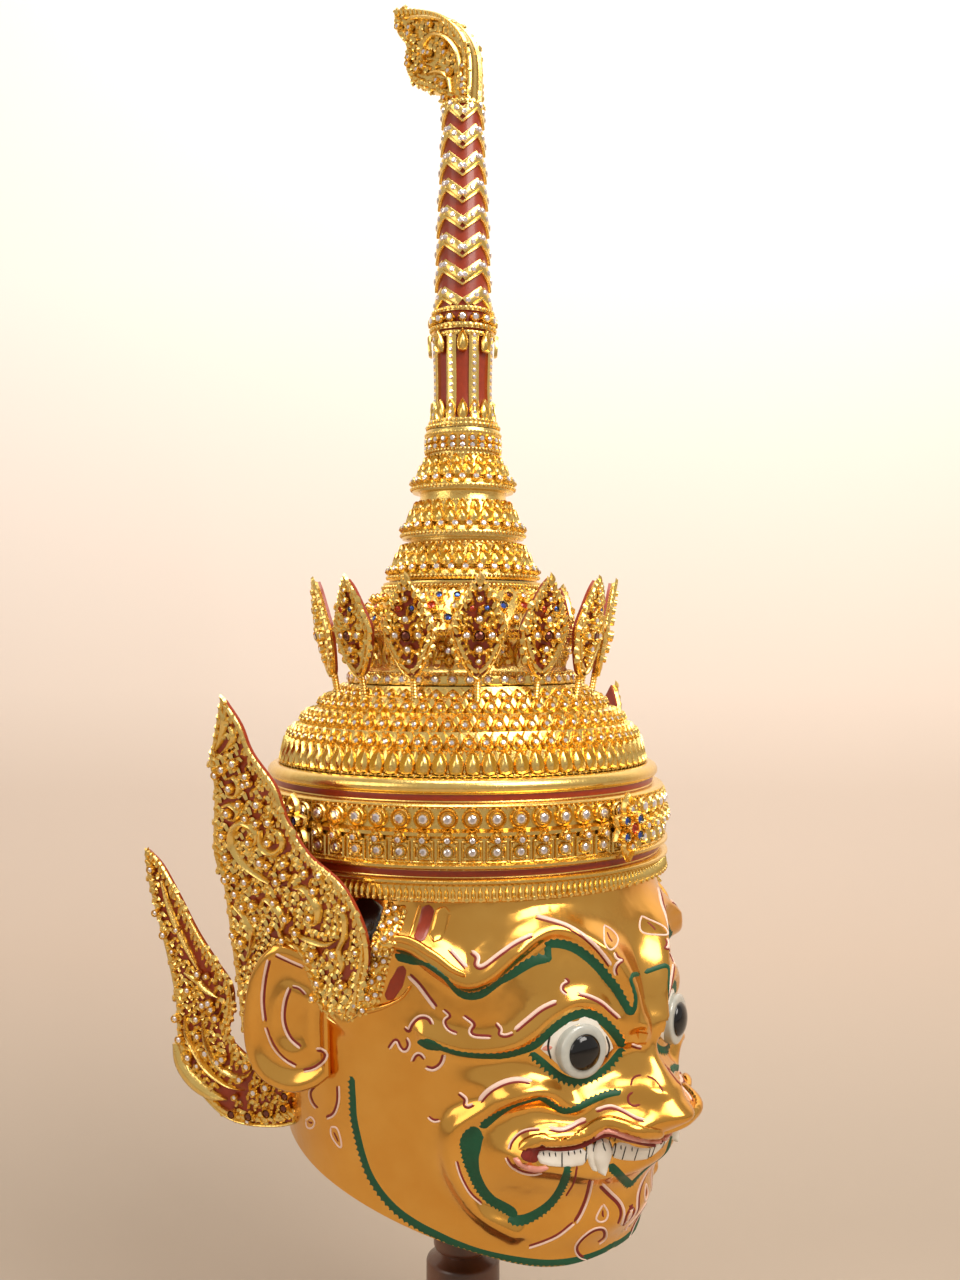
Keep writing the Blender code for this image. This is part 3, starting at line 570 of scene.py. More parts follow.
def head_places():
    """Rows of points: the dome, the carved outside, the rim, then the smooth inside."""
    fine = np.arange(-FINE_REACH, FINE_REACH, FINE_STEP)
    coarse = np.arange(FINE_REACH, 360 - FINE_REACH, COARSE_STEP)
    angle = np.concatenate([fine, np.where(coarse > 180, coarse - 360, coarse)])
    rim = smooth_curve(RIM_FORM, np.abs(angle))
    rows = []

    def add_row(radius, z):
        turn = np.radians(angle)
        rows.append(np.stack([np.sin(turn) * radius, -np.cos(turn) * radius,
                              np.broadcast_to(z, angle.shape)], axis=-1))

    for share, rise in DOME_FORM:
        add_row(share * COLLAR, BAND_Z + rise * (DOME_TOP - BAND_Z))
    for step in range(FACE_ROWS + 1):
        share = 1.0 - step / FACE_ROWS
        height = rim + (1.0 - rim) * share
        fade = min(1.0, RELIEF_FADE * (1.0 - share), RELIEF_FADE * share)
        radius = head_radius(angle, height) + carving(angle, height) * FACE_HEIGHT * fade
        add_row(radius, CHIN_Z + height * FACE_HEIGHT)
    for share in INSIDE_SHARES:
        height = rim + (1.0 - rim) * share
        add_row(np.minimum(head_radius(angle, height) - WALL, COLLAR if share == 1.0 else 1.0),
                CHIN_Z + height * FACE_HEIGHT)
    for share, rise in reversed(DOME_FORM[:-1]):
        add_row(max(share * COLLAR - WALL, 0.0), BAND_Z + rise * (DOME_TOP - BAND_Z) - WALL)
    return np.array(rows)


head_bm = wrapped_grid(head_places())
head_tree = BVHTree.FromBMesh(head_bm)
make_piece("mask_head_carved", head_bm, GOLD_LEAF, SKIN_CREASE, ["mask_head"])

# %% [markdown]
# ## The ears
# Each ear is a pointed leaf with a rounded rim and a hollow cup, moulded on to the cheek. Its
# outline is a rounded path, and rings between the outline and the middle are lifted or sunk to
# give the rim, the cup and the fold inside it.

# %% Ears
EAR_HEIGHT = 0.070
EAR_WIDTH = 0.042
EAR_MIDDLE = (0.42, 0.46)
EAR_OUTLINE = ((-0.02, 0.12), (-0.02, 0.50), (-0.02, 0.86), (0.30, 0.99), (0.62, 1.02), (0.88, 0.84),
               (1.0, 0.52), (0.97, 0.24), (0.80, 0.07), (0.48, -0.01), (0.18, 0.03))
# Share of the way from the middle out, and height towards the front in mm, back face first
EAR_RINGS = ((0.0, 0.4), (0.5, 0.2), (0.95, 0.0), (1.0, 1.2), (1.0, 3.6), (0.96, 4.9), (0.89, 5.2),
             (0.82, 4.2), (0.74, 2.2), (0.64, 1.6), (0.54, 1.9), (0.46, 3.2), (0.38, 3.0),
             (0.28, 1.5), (0.14, 1.1), (0.0, 1.0))


def frame_matrix(origin, across, up):
    """Axes for a flat piece: across and up lie in it, and its front faces away from the axis."""
    across = Vector(across).normalized()
    up = Vector(up)
    up = (up - across * up.dot(across)).normalized()
    return Matrix.Translation(origin) @ Matrix((across, up.cross(across), up)).transposed().to_4x4()


def leaf_places(outline, middle, rings):
    """Rings of points from the middle of a leaf to its outline and back; front looks to -Y."""
    return np.array([[(middle[0] + (x - middle[0]) * out, -height * MM, middle[1] + (z - middle[1]) * out)
                      for x, z in outline] for out, height in rings])


def head_frame(angle, reach, share, across, up):
    """Axes of a flat piece on the left side, from its root: angle, share of the radius, of the height."""
    return frame_matrix(polar(angle, reach * HEAD_RADIUS, CHIN_Z + share * FACE_HEIGHT), across, up)


def make_ear():
    """The right ear, mirrored from the left one's form."""
    closed = EAR_OUTLINE + EAR_OUTLINE[:1]
    outline = rounded([(x * EAR_WIDTH, z * EAR_HEIGHT) for x, z in closed], 10)[:-1]
    places = leaf_places(outline, (EAR_MIDDLE[0] * EAR_WIDTH, EAR_MIDDLE[1] * EAR_HEIGHT), EAR_RINGS)
    bm = wrapped_grid(places)
    # Across runs back and outwards from the ear's root in the cheek
    axes = head_frame(84.0, 0.965, 0.45, (0.58, 0.81, 0.0), (0.10, 0.0, 1.0))
    bmesh.ops.transform(bm, matrix=axes, verts=bm.verts)
    bmesh.ops.scale(bm, vec=(-1, 1, 1), verts=bm.verts)
    bmesh.ops.recalc_face_normals(bm, faces=bm.faces)
    return bm


ear_bm = make_ear()
ear_tree = BVHTree.FromBMesh(ear_bm)
make_piece("mask_ears", mirror_copy(ear_bm), GOLD_LEAF, SKIN_CREASE)

# %% [markdown]
# ## Brush lines
# Each line starts as a few points read off the photograph. They are rounded, sent through the
# camera on to the carved skin, and spaced evenly. A low loaf-shaped strip is then laid along
# them, every point pressed to the skin, so the paint follows the carving from any side. The
# mirror image gives the other half of the face.

# %% Stroke maker
# Paint of one half stops this far past the middle plane, where it meets its mirror image
PLANE_REACH = 0.0014
STROKE_STEP = 0.70 * MM
SPAN_STEPS = 12
PIXEL = 0.48 * MM
PAINT_SINK = 0.25 * MM
# The underside lies deeper still, and a stroke starts this share of a step early
KEEL = 0.2 * MM
EARLY = 0.2
# The least length over which a stroke rounds off, and the share of its width where it starts
ROUNDING = 0.1 * MM
START_WIDTH = 0.03
# The gap between two teeth, as a share of their pitch
TOOTH_GAP = 0.30


def nearest(hits):
    """Place and outward direction of the nearest hit on some skins, or nothing."""
    hits = [hit for hit in hits if hit[0] is not None]
    return min(hits, key=lambda hit: hit[3])[:2] if hits else None


def land(x, y, trees):
    """Where a point of the picture falls on the skin."""
    return nearest(tree.ray_cast(camera.location, pixel_ray(x, y)) for tree in trees)


def press(point, trees):
    """The place of the skin next to a point."""
    return nearest(tree.find_nearest(point) for tree in trees)


def even_path(pixels, trees, closed=False):
    """Picture points as an even, slightly smoothed path on the skin."""
    if closed:
        pixels = list(pixels) + [pixels[0]]
    landed = [land(x, y, trees) for x, y in rounded(pixels, SPAN_STEPS)]
    points = [hit[0] for hit in landed if hit and hit[0].x < PLANE_REACH]
    even = points[:1]
    for point in points[1:]:
        gap = (point - even[-1]).length
        while gap >= STROKE_STEP:
            even.append(even[-1] + (point - even[-1]) * (STROKE_STEP / gap))
            gap = (point - even[-1]).length
    for _ in range(2 if len(even) > 2 else 0):
        middle = [(a + 2 * b + c) / 4 for a, b, c in zip(even, even[1:], even[2:])]
        even = [even[0]] + middle + [even[-1]]
    return even


def lay_stroke(bm, path, left, right, proud, trees, fat=5):
    """Lay paint along a path: left and right give half widths, fat the points across the top."""
    rows = []
    last = len(path) - 1
    if last < 3:
        return
    for number, point in enumerate(path):
        ahead = path[min(number + 1, last)] - path[max(number - 1, 0)]
        place, normal = press(point, trees)
        sideways = normal.cross(ahead).normalized()
        row = []
        for spot in range(fat):
            share = 2 * spot / (fat - 1) - 1
            reach = (left if share > 0 else right)(number, last)
            flat, up = press(point + sideways * share * reach, trees)
            lift = proud * (1 - share * share) ** 0.5 if abs(share) < 1 else -PAINT_SINK
            row.append(flat + up * lift)
        row.append(place - normal * (PAINT_SINK + KEEL))
        rows.append(row)
    tip = [rows[0][fat // 2] - (rows[1][fat // 2] - rows[0][fat // 2]) * EARLY] * (fat + 1)
    tail = [rows[-1][fat // 2]] * (fat + 1)
    join(bm, wrapped_grid(np.array([tip] + rows + [tail])))


def brush(widths, blunt=0.6):
    """Half of one width, or of widths spread along the path, rounded off at both ends."""
    widths = np.atleast_1d(widths)
    places = np.linspace(0, 1, len(widths))

    def half(number, last):
        width = float(np.interp(number / last, places, widths))
        end = min(number, last - number) * STROKE_STEP
        rounding = max(blunt * width, ROUNDING)
        return 0.5 * width * min(1.0, max(end / rounding, START_WIDTH)) ** 0.5
    return half


def toothed(widths, pitch, depth):
    """A half width with a row of small teeth along the edge."""
    half = brush(widths)

    def edge(number, last):
        saw = abs((number * STROKE_STEP / pitch) % 1.0 - 0.5) * 2
        return half(number, last) + depth * max(0.0, saw - TOOTH_GAP) / (1 - TOOTH_GAP)
    return edge


def paint(bm, pixels, widths, proud, trees, onto=None, blunt=0.6, fat=5, closed=False):
    """One stroke along picture points: widths in pixels, height in mm, on trees or pressed onto one."""
    half = brush(np.array(widths) * PIXEL, blunt)
    lay_stroke(bm, even_path(pixels, trees, closed), half, half, proud * MM, onto or trees, fat)


print("stroke maker ready")

# %% [markdown]
# ## Green bands
# The broad green bands mark brow, eye, cheek, chin and jaw. One edge is clean, the other has the
# painter's row of little teeth, like the edge of a leaf.

# %% Green bands
# Points of the photograph, widths in pixels, tooth side (left 1, right -1), tooth pitch and depth in mm
GREEN_BANDS = {
    "brow": (((395, 955), (409, 959), (420, 962), (432, 969), (444, 978), (455, 989), (465, 995),
              (478, 995), (489, 989), (500, 981), (512, 974), (523, 967), (535, 961), (549, 958)),
             (14, 15, 15, 13, 12, 12, 12, 11), 1, 3.0, 0.9),
    "brow_step": (((549, 962), (548, 953), (548, 943)), 9, 1, 3.0, 0.4),
    "brow_arch": (((545, 944), (560, 944), (574, 948), (586, 956), (598, 967), (608, 979), (616, 989),
                   (622, 999), (627, 1008), (631, 1015)), (10, 12, 12, 12, 9), 1, 3.0, 0.9),
    "brow_root": (((631, 1015), (635, 1007), (636, 998), (634, 989), (631, 980), (633, 975),
                   (639, 974)), 6, 1, 3.0, 0.2),
    "upper_lid": (((434, 1046), (446, 1050), (460, 1054), (481, 1056), (506, 1055), (529, 1048),
                   (541, 1040), (555, 1027), (570, 1017), (585, 1013), (597, 1017), (609, 1027),
                   (618, 1038), (623, 1047)), 11.5, 1, 3.0, 0.9),
    "lower_lid": (((531, 1053), (543, 1062), (552, 1070), (562, 1077), (574, 1081), (586, 1079),
                   (597, 1074), (607, 1066), (615, 1057), (622, 1048)), 8.5, -1, 2.6, 1.8),
    "eye_tail": (((418, 1043), (424, 1043), (431, 1044), (437, 1046), (443, 1047)),
                 (16, 22, 24, 20, 10), 1, 3.0, 0.4),
    "cheek_top": (((621, 1092), (609, 1094), (596, 1099), (584, 1105), (574, 1110), (563, 1111),
                   (555, 1107), (546, 1101), (540, 1099), (527, 1102), (512, 1107), (499, 1114),
                   (489, 1121), (480, 1128)), (8, 9, 9, 9, 10, 12), -1, 2.4, 1.1),
    "cheek_side": (((474, 1127), (471, 1136), (471, 1147), (471, 1157), (474, 1171), (481, 1187),
                    (491, 1199), (503, 1206), (512, 1212), (514, 1220)),
                   (36, 30, 21, 15, 14, 13, 13, 12), -1, 2.2, 0.9),
    "cheek_foot": (((508, 1220), (518, 1220), (528, 1218), (542, 1210), (553, 1200), (561, 1188),
                    (566, 1175), (568, 1163)), (11, 13, 12, 12, 11, 9), -1, 2.2, 1.0),
    "chin": (((609, 1165), (617, 1172), (625, 1180), (636, 1190)), 11, -1, 2.2, 1.0),
    "jaw": (((352, 1077), (353, 1098), (354, 1117), (358, 1137), (363, 1156), (370, 1175),
             (382, 1194), (398, 1211), (418, 1225), (437, 1235), (456, 1244), (481, 1253),
             (512, 1260), (543, 1264), (566, 1263), (588, 1258), (606, 1250), (618, 1239)),
            (9, 11, 11, 11, 12, 13, 13, 11), -1, 2.8, 1.3),
}
# The ticks of the edges reach out by this factor of the tooth depth
TICK_REACH = 1.4
# Height of the green paint and how blunt its clean edge ends
GREEN_HEIGHT = 0.30 * MM
GREEN_BLUNT = 0.3


def paint_green():
    """All green bands of the near half, then their mirror images."""
    bm = bmesh.new()
    for pixels, width, tooth_side, pitch, depth in GREEN_BANDS.values():
        path = even_path(pixels, [head_tree])
        widths = np.atleast_1d(width) * PIXEL
        plain = brush(widths, GREEN_BLUNT)
        ticked = toothed(widths, pitch * MM, TICK_REACH * depth * MM)
        left, right = (ticked, plain) if tooth_side > 0 else (plain, ticked)
        lay_stroke(bm, path, left, right, GREEN_HEIGHT, [head_tree])
    return mirror_copy(bm)


make_piece("green_bands", paint_green(), GREEN, PAINT_CREASE)

# %% [markdown]
# ## Red and white lines
# Flame curls, tears and contour lines are drawn as pairs: a thin dark red line with a thicker,
# raised pinkish white one beside it, which looks like the light on a fold of skin. The points
# give the red line, and the white one is set off to one side of it.

# %% Paired lines
# Points of the red line, side of the white line (left 1, right -1), red and white width in pixels
PAIRS = (
    (((448, 950), (457, 960), (466, 970)), 1, 1.8, 4.0),
    (((470, 953), (476, 958), (474, 964), (479, 969), (487, 966), (500, 956), (517, 944), (534, 936)),
     1, 2.0, 3.6),
    (((535, 918), (550, 922), (565, 927), (579, 935), (591, 945), (601, 956), (609, 967)), 1, 1.8, 4.0),
    (((410, 974), (420, 984), (429, 996), (438, 1008)), -1, 2.4, 3.4),
    (((444, 1009), (451, 1016), (445, 1021), (449, 1029), (458, 1033)), -1, 1.9, 2.0),
    (((464, 1015), (475, 1024), (471, 1031), (475, 1035), (492, 1036)), -1, 2.2, 2.2),
    (((495, 1024), (500, 1030), (498, 1034), (505, 1037), (514, 1034)), 1, 2.0, 2.2),
    (((516, 1032), (529, 1021), (543, 1010), (558, 1003)), 1, 2.0, 3.6),
    (((565, 978), (570, 982), (564, 985), (563, 990), (569, 994)), -1, 2.0, 2.0),
    (((577, 995), (589, 998), (601, 1004), (610, 1012), (619, 1020)), 1, 2.0, 3.0),
    (((404, 1028), (409, 1032), (413, 1024), (420, 1018), (428, 1019), (432, 1026)), 1, 2.4, 2.0),
    (((388, 1048), (394, 1040), (398, 1040), (401, 1047), (405, 1050), (408, 1044), (405, 1038)),
     -1, 2.0, 2.2),
    (((413, 1062), (416, 1056), (420, 1055), (424, 1060)), 1, 2.0, 2.0),
    (((426, 1066), (433, 1068), (440, 1063), (443, 1054)), -1, 2.2, 2.6),
    (((458, 1094), (465, 1100), (463, 1105), (468, 1108), (475, 1105)), 1, 2.0, 2.4),
    (((481, 1103), (490, 1093), (504, 1085), (518, 1082), (532, 1084)), 1, 1.8, 4.4),
    (((429, 1116), (434, 1120), (440, 1119)), -1, 1.8, 2.0),
    (((510, 1150), (512, 1143), (519, 1135), (528, 1131), (541, 1130)), 1, 1.8, 1.8),
    (((548, 1130), (561, 1132), (571, 1129), (580, 1124), (588, 1121)), 1, 1.8, 4.0),
    (((507, 1157), (512, 1165), (522, 1171), (533, 1173), (542, 1171)), -1, 2.0, 1.8),
    (((457, 1161), (462, 1177), (471, 1193), (483, 1204)), -1, 1.8, 1.6),
    (((590, 1180), (586, 1197), (580, 1212), (574, 1222)), 1, 3.2, 2.4),
    (((573, 1222), (558, 1234), (543, 1241), (528, 1246)), 1, 2.0, 2.4),
    (((600, 1186), (609, 1195), (618, 1204), (621, 1213), (618, 1224)), 1, 3.4, 3.0),
    (((638, 1195), (631, 1207), (626, 1217), (624, 1229), (625, 1238)), 1, 3.0, 1.6),
    (((598, 1242), (604, 1237), (603, 1230), (594, 1231), (583, 1239), (577, 1248), (581, 1256),
      (591, 1258)), -1, 2.6, 1.8),
    (((596, 1112), (610, 1108), (622, 1112), (635, 1119), (645, 1122)), 1, 2.0, 2.6),
    (((631, 1046), (636, 1048), (642, 1049)), 1, 2.0, 2.6),
    (((631, 1086), (632, 1080), (636, 1076), (642, 1075)), 1, 1.6, 0.0),
    (((647, 1076), (654, 1079), (660, 1086), (664, 1094)), -1, 1.8, 0.0),
    (((633, 1092), (628, 1096), (629, 1103), (634, 1106), (641, 1104)), 1, 1.8, 0.0),
    (((616, 952), (618, 957), (624, 960), (619, 964), (616, 970), (618, 976)), -1, 1.6, 2.6),
    (((577, 1166), (574, 1182), (566, 1196)), 1, 1.8, 0.0),
    (((337, 1086), (337, 1101), (333, 1113), (326, 1117)), 1, 2.4, 2.0),
    (((319, 1082), (311, 1092), (313, 1102), (318, 1108)), -1, 2.4, 1.2),
)
# Closed tears: points of the photograph, from the tip round
TEARS = (
    ((604, 925), (612, 930), (618, 938), (616, 946), (610, 950), (605, 944), (604, 935)),
    ((603, 1204), (608, 1212), (606, 1220), (600, 1222), (596, 1218)),
    ((331, 1127), (337, 1128), (341, 1140), (341, 1148), (335, 1142), (331, 1134)),
    ((306, 1120), (311, 1117), (315, 1122), (312, 1128), (307, 1127)),
)
EAR_PAIRS = (
    (((270, 960), (266, 979), (264, 1000), (266, 1022)), -1, 2.2, 2.6),
    (((267, 1027), (274, 1045), (285, 1058), (298, 1066)), -1, 2.2, 2.2),
    (((275, 956), (290, 963), (304, 969)), 1, 1.8, 2.6),
    (((291, 988), (286, 1003), (285, 1021), (291, 1037), (302, 1047)), -1, 2.2, 2.6),
    (((292, 987), (299, 989), (306, 996)), 1, 1.6, 1.6),
    (((303, 1070), (314, 1067), (323, 1060), (325, 1054), (321, 1051), (316, 1051)), -1, 2.4, 2.2),
)
# The brush carries this much more paint than the line widths in the tables
LINE_WEIGHT = 1.25
# The red line also reaches this many pixels under the white one
RED_EXTRA = 0.6
# The red core of a tear ends at this share of the way to its points
TEAR_CORE = 0.45
# Heights of the red and the white lines in mm; width in pixels and height of a tear's line and core
RED_HEIGHT = 0.28
WHITE_HEIGHT = 0.50
TEAR_LINE = (2.4, 0.45)
TEAR_DOT = (3.0, 0.25)


def paint_pairs(pairs, trees):
    """The red lines and the white lines of all pairs, as two meshes."""
    red, white = bmesh.new(), bmesh.new()
    for pixels, side, red_width, white_width in pairs:
        paint(red, pixels, LINE_WEIGHT * (red_width + RED_EXTRA), RED_HEIGHT, trees)
        if not white_width:
            continue
        curve = rounded(pixels, 6)
        way = np.gradient(curve, axis=0)
        way /= np.linalg.norm(way, axis=1)[:, None]
        off = side * 0.5 * (red_width + white_width)
        beside = curve + off * np.stack([way[:, 1], -way[:, 0]], axis=1)
        paint(white, beside[::2], LINE_WEIGHT * white_width, WHITE_HEIGHT, trees)
    return red, white


red_lines, white_lines = paint_pairs(PAIRS, [head_tree])
for tear in TEARS:
    paint(white_lines, tear, *TEAR_LINE, [head_tree], closed=True)
    middle = np.mean(tear, axis=0)
    core = [middle + share * (np.array(tear[end]) - middle)
            for share, end in ((TEAR_CORE, 0), (0.0, 0), (TEAR_CORE, len(tear) // 2))]
    paint(red_lines, core, *TEAR_DOT, [head_tree])
ear_red, ear_white = paint_pairs(EAR_PAIRS, [ear_tree])
for name, bm, finish in (("red_lines", red_lines, RED_LINE), ("white_lines", white_lines, PINK_LINE),
                         ("ear_red_lines", ear_red, RED_LINE), ("ear_white_lines", ear_white, PINK_LINE)):
    make_piece(name, mirror_copy(bm), finish, PAINT_CREASE)

# %% [markdown]
# ## Mouth, teeth and filled shapes
# The upper lip is a thick roll of gold over a dark red line. Behind it stand the teeth: a fang
# like a bud, and flat teeth with black painted shade in the gaps. The white of the eye, the hollow of the
# mouth and the red fields beside the brow are single broad strokes of their own colour; the black in
# the gap between the frame strip and the ear flame is a broad stroke of painted shade.

# %% Broad strokes
# Finish, points of the photograph, widths in pixels and height in mm; the order is from below up
BROAD = (
    ("eye_white", ((541, 1049), (549, 1048), (562, 1048), (578, 1049), (594, 1049), (606, 1048),
                   (613, 1048)), (4, 33, 57, 64, 57, 33, 4), 0.28),
    ("lip_pink", ((542, 1049), (547, 1048), (553, 1047)), (3, 8, 3), 0.45),
    ("black", ((550, 1036), (548, 1047), (551, 1059)), (2, 3, 2), 0.60),
    ("black", ((606, 1036), (609, 1047), (606, 1059)), (2, 3, 2), 0.60),
    ("mouth_red", ((521, 1156), (530, 1155), (541, 1158)), (12, 18, 14), 0.35),
    ("mouth_dark", ((528, 1148), (537, 1148), (548, 1150)), (8, 9, 4), 0.45),
    ("teeth", ((537, 1156), (549, 1157), (562, 1158), (574, 1158), (588, 1155)), (12, 17, 17, 17, 19), 1.0),
    ("teeth", ((612, 1149), (622, 1151), (634, 1154), (648, 1153), (664, 1150)), (17, 19, 16, 15, 14), 0.9),
    ("mouth_dark", ((524, 1149), (537, 1147), (557, 1149), (574, 1147), (587, 1143), (597, 1137),
                    (611, 1134), (632, 1140), (652, 1144), (666, 1144)), (3, 4, 5, 6, 7, 7, 6, 6, 5), 1.3),
    ("teeth", ((589, 1143), (591, 1153), (593, 1163), (596, 1171)), (8, 10, 9, 6), 1.0),
    ("teeth", ((601, 1138), (602, 1147), (602, 1158), (602, 1167), (603, 1174)), (14, 22, 23, 15, 8), 2.6),
    ("lip_pink", ((515, 1158), (524, 1166), (536, 1169), (549, 1167)), (5, 7, 7, 4), 1.5),
    ("gold", ((521, 1150), (526, 1144), (540, 1140), (556, 1142), (572, 1140), (586, 1134),
              (597, 1126), (609, 1122), (624, 1126), (642, 1132), (660, 1134)),
     (10, 15, 17, 16, 15, 15, 15, 14, 13, 12, 11), 2.2),
    ("lip_pink", ((594, 1135), (602, 1131), (611, 1130), (630, 1136), (650, 1140), (664, 1141)),
     (3, 4, 4, 4, 3, 3), 1.8),
    # Painted shade: black strokes filling the dark gap between the frame strip and the ear flame
    ("black", ((364, 897), (366, 912), (368, 926), (369, 940)), (50, 46, 34, 16), 0.35),
    ("black", ((368, 938), (364, 956), (360, 974), (354, 988), (345, 990)), (8, 4, 5, 7, 4), 0.40),
    ("red", ((429, 905), (425, 922), (418, 942)), (15, 14, 13), 0.35),
    ("red", ((403, 966), (398, 980), (387, 1001)), (10, 16, 11), 0.35),
    ("gold", ((445, 907), (440, 924), (434, 942)), (17, 16, 14), 0.9),
    ("gold", ((420, 905), (415, 920), (409, 938)), (3, 3, 3), 0.8),
    ("gold", ((388, 940), (400, 939), (412, 942), (424, 949), (438, 958), (452, 969), (466, 976)),
     (6, 8, 9, 9, 8, 7, 5), 2.0),
    ("gold", ((335, 1011), (352, 1012), (368, 1010), (384, 1006), (401, 998), (411, 986)),
     (4, 7, 8, 6, 4, 3), 1.8),
)
# Black lines of painted shade in the gaps between the teeth, and small ticks at their roots
GAP_WIDTH = 1.9
GAP_HEIGHT = 0.25
BROAD_BLUNT = 0.3
BROAD_POINTS = 9
TOOTH_GAPS = (
    ((562, 1152), (562, 1160), (562, 1168)), ((587, 1146), (586, 1156), (586, 1166)),
    ((616, 1143), (615, 1150), (613, 1157)), ((626, 1146), (624, 1153), (622, 1160)),
    ((638, 1148), (636, 1155), (634, 1161)), ((650, 1148), (649, 1154), (647, 1160)),
    ((596, 1141), (594, 1147), (593, 1153)), ((602, 1139), (604, 1147), (606, 1152)),
    ((609, 1140), (611, 1146), (612, 1151)), ((543, 1151), (544, 1156)), ((549, 1152), (550, 1157)),
    ((555, 1152), (556, 1157)), ((568, 1151), (569, 1156)), ((574, 1150), (575, 1155)),
    ((580, 1149), (581, 1154)), ((621, 1145), (621, 1150)), ((632, 1147), (632, 1152)),
    ((644, 1148), (644, 1152)), ((656, 1147), (656, 1151)),
)
BROAD_FINISHES = {
    "eye_white": ("eye_whites", TOOTH, "teeth"), "mouth_red": ("mouth_hollow", RED_LINE, "line_paint"),
    "mouth_dark": ("mouth_line", RED_LINE, "line_paint"), "teeth": ("teeth", TOOTH, "teeth"),
    "lip_pink": ("lip_edges", LIP_PINK, "line_paint"), "gold": ("gold_rolls", GOLD_LEAF, "gold_leaf"),
    # The black fields hold the eyes' black marks and the painted shade of the gap beside the frame strip
    "black": ("black_fields", BLACK_LACQUER_AND_PAINTED_SHADE, "black_lacquer"),
    "red": ("red_fields", RED_LACQUER, "red_lacquer"),
}


def paint_broad():
    """Every broad stroke of both halves, one piece for each finish."""
    meshes = {}
    for kind, pixels, widths, proud in BROAD:
        paint(meshes.setdefault(kind, bmesh.new()), pixels, widths, proud, [head_tree],
              blunt=BROAD_BLUNT, fat=BROAD_POINTS)
    for kind, bm in meshes.items():
        name, material, slot = BROAD_FINISHES[kind]
        make_piece(name, mirror_copy(bm), material, PAINT_CREASE)
        if kind == "teeth":
            tooth_tree = BVHTree.FromObject(bpy.data.objects[name], bpy.context.evaluated_depsgraph_get())
    # Painted shade: black lines in the gaps between the teeth
    gaps = bmesh.new()
    for pixels in TOOTH_GAPS:
        paint(gaps, pixels, GAP_WIDTH, GAP_HEIGHT, [tooth_tree, head_tree], [tooth_tree])
    make_piece("tooth_gaps", mirror_copy(gaps), BLACK_LACQUER_AND_PAINTED_SHADE, PAINT_CREASE)


paint_broad()

# %% [markdown]
# ## The eyes
# An eye is a ring of polished shell round a domed black iris, set in the middle of the painted
# almond. Both are turned shapes: a profile of radius and height, spun about the line of sight.

# %% Eyes
EYE_RADIUS = 0.0125
IRIS_RADIUS = 0.0084
# Radius share and height in mm of the shell ring, then of the iris
RING_PROFILE = ((0.0, -3.0), (1.0, -3.0), (1.0, 1.2), (0.98, 1.9), (0.93, 2.3), (0.68, 2.6), (0.62, 2.2),
                (0.0, 2.0))
IRIS_PROFILE = ((0.0, 1.0), (1.0, 1.0), (1.0, 2.7), (0.93, 3.7), (0.75, 4.7), (0.5, 5.4), (0.25, 5.8),
                (0.0, 5.9))
EYE_SIDES = 48


def spun(profile, steps):
    """A body turned about Z; its (radius, height) profile ends on the axis or where it began."""
    bm = bmesh.new()
    verts = [bm.verts.new((radius, 0, z)) for radius, z in profile]
    edges = [bm.edges.new(pair) for pair in zip(verts, verts[1:])]
    bmesh.ops.spin(bm, geom=verts + edges, cent=(0, 0, 0), axis=(0, 0, 1), angle=2 * math.pi,
                   steps=steps, use_merge=True)
    bmesh.ops.remove_doubles(bm, verts=bm.verts, dist=0.01 * MM)
    bmesh.ops.recalc_face_normals(bm, faces=bm.faces)
    return bm


def eye_matrix():
    """Axes of the near eye: local +Z looks straight out of the face."""
    low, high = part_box("eye_right")
    centre = (low + high) / 2
    outward = Vector((centre.x, centre.y, 0)).normalized()
    place = head_tree.ray_cast(centre + outward * 0.05, -outward)[0]
    return Matrix.Translation(place) @ outward.to_track_quat("Z", "Y").to_matrix().to_4x4()


for name, profile, radius, finish, nodes in (
        ("eye_rings", RING_PROFILE, EYE_RADIUS, SHELL, ["eye_right", "eye_left"]),
        ("eye_irises", IRIS_PROFILE, IRIS_RADIUS, IRIS, [])):
    eye_bm = spun([(share * radius, height * MM) for share, height in profile], EYE_SIDES)
    bmesh.ops.transform(eye_bm, matrix=eye_matrix(), verts=eye_bm.verts)
    make_piece(name, mirror_copy(eye_bm), finish, EYE_CREASE, nodes)

# %% [markdown]
# ## Ornament in small parts
# The crown is covered with small castings: beads, cups, cut stones, petals and curled flames.
# Each is modelled once, with few faces, facing the viewer in front of the mask. Copies are then
# stamped round the crown, so that hundreds of them stay one light mesh.

# %% Small castings
# Shares of a casting's radius and height: a cut stone with its girdle, sloping facets and flat
# table; a round cup with a rim, which holds a stone; and a bead, flatter at the back
STONE_PROFILE = ((0, -0.25), (1.0, -0.1), (0.80, 0.34), (0.48, 0.52), (0, 0.52))
CUP_PROFILE = ((0, -0.4), (1.0, -0.4), (1.0, 0.6), (0.88, 1.0), (0.70, 0.45), (0, 0.40))
BEAD_PROFILE = ((0, -0.6), (0.95, -0.15), (0.80, 0.62), (0, 1.0))
PETAL_OUTLINE = ((-0.36, 0.0), (-0.48, 0.20), (-0.50, 0.42), (-0.36, 0.68), (-0.14, 0.88), (0, 1.0),
                 (0.14, 0.88), (0.36, 0.68), (0.50, 0.42), (0.48, 0.20), (0.36, 0.0), (0.0, -0.05))
PETAL_MIDDLE = 0.40
PETAL_RINGS = ((0.0, -0.2), (1.0, -0.2), (1.0, 0.4), (0.86, 1.0), (0.66, 0.25), (0.34, 0.55), (0.0, 1.0))
PLAIN_RINGS = ((0.0, -0.2), (1.0, -0.2), (0.72, 0.8), (0.0, 1.0))
ROUND_TOP = ((1.0, 0.0), (0.55, 0.8), (0.0, 1.0), (-0.55, 0.8), (-1.0, 0.0))
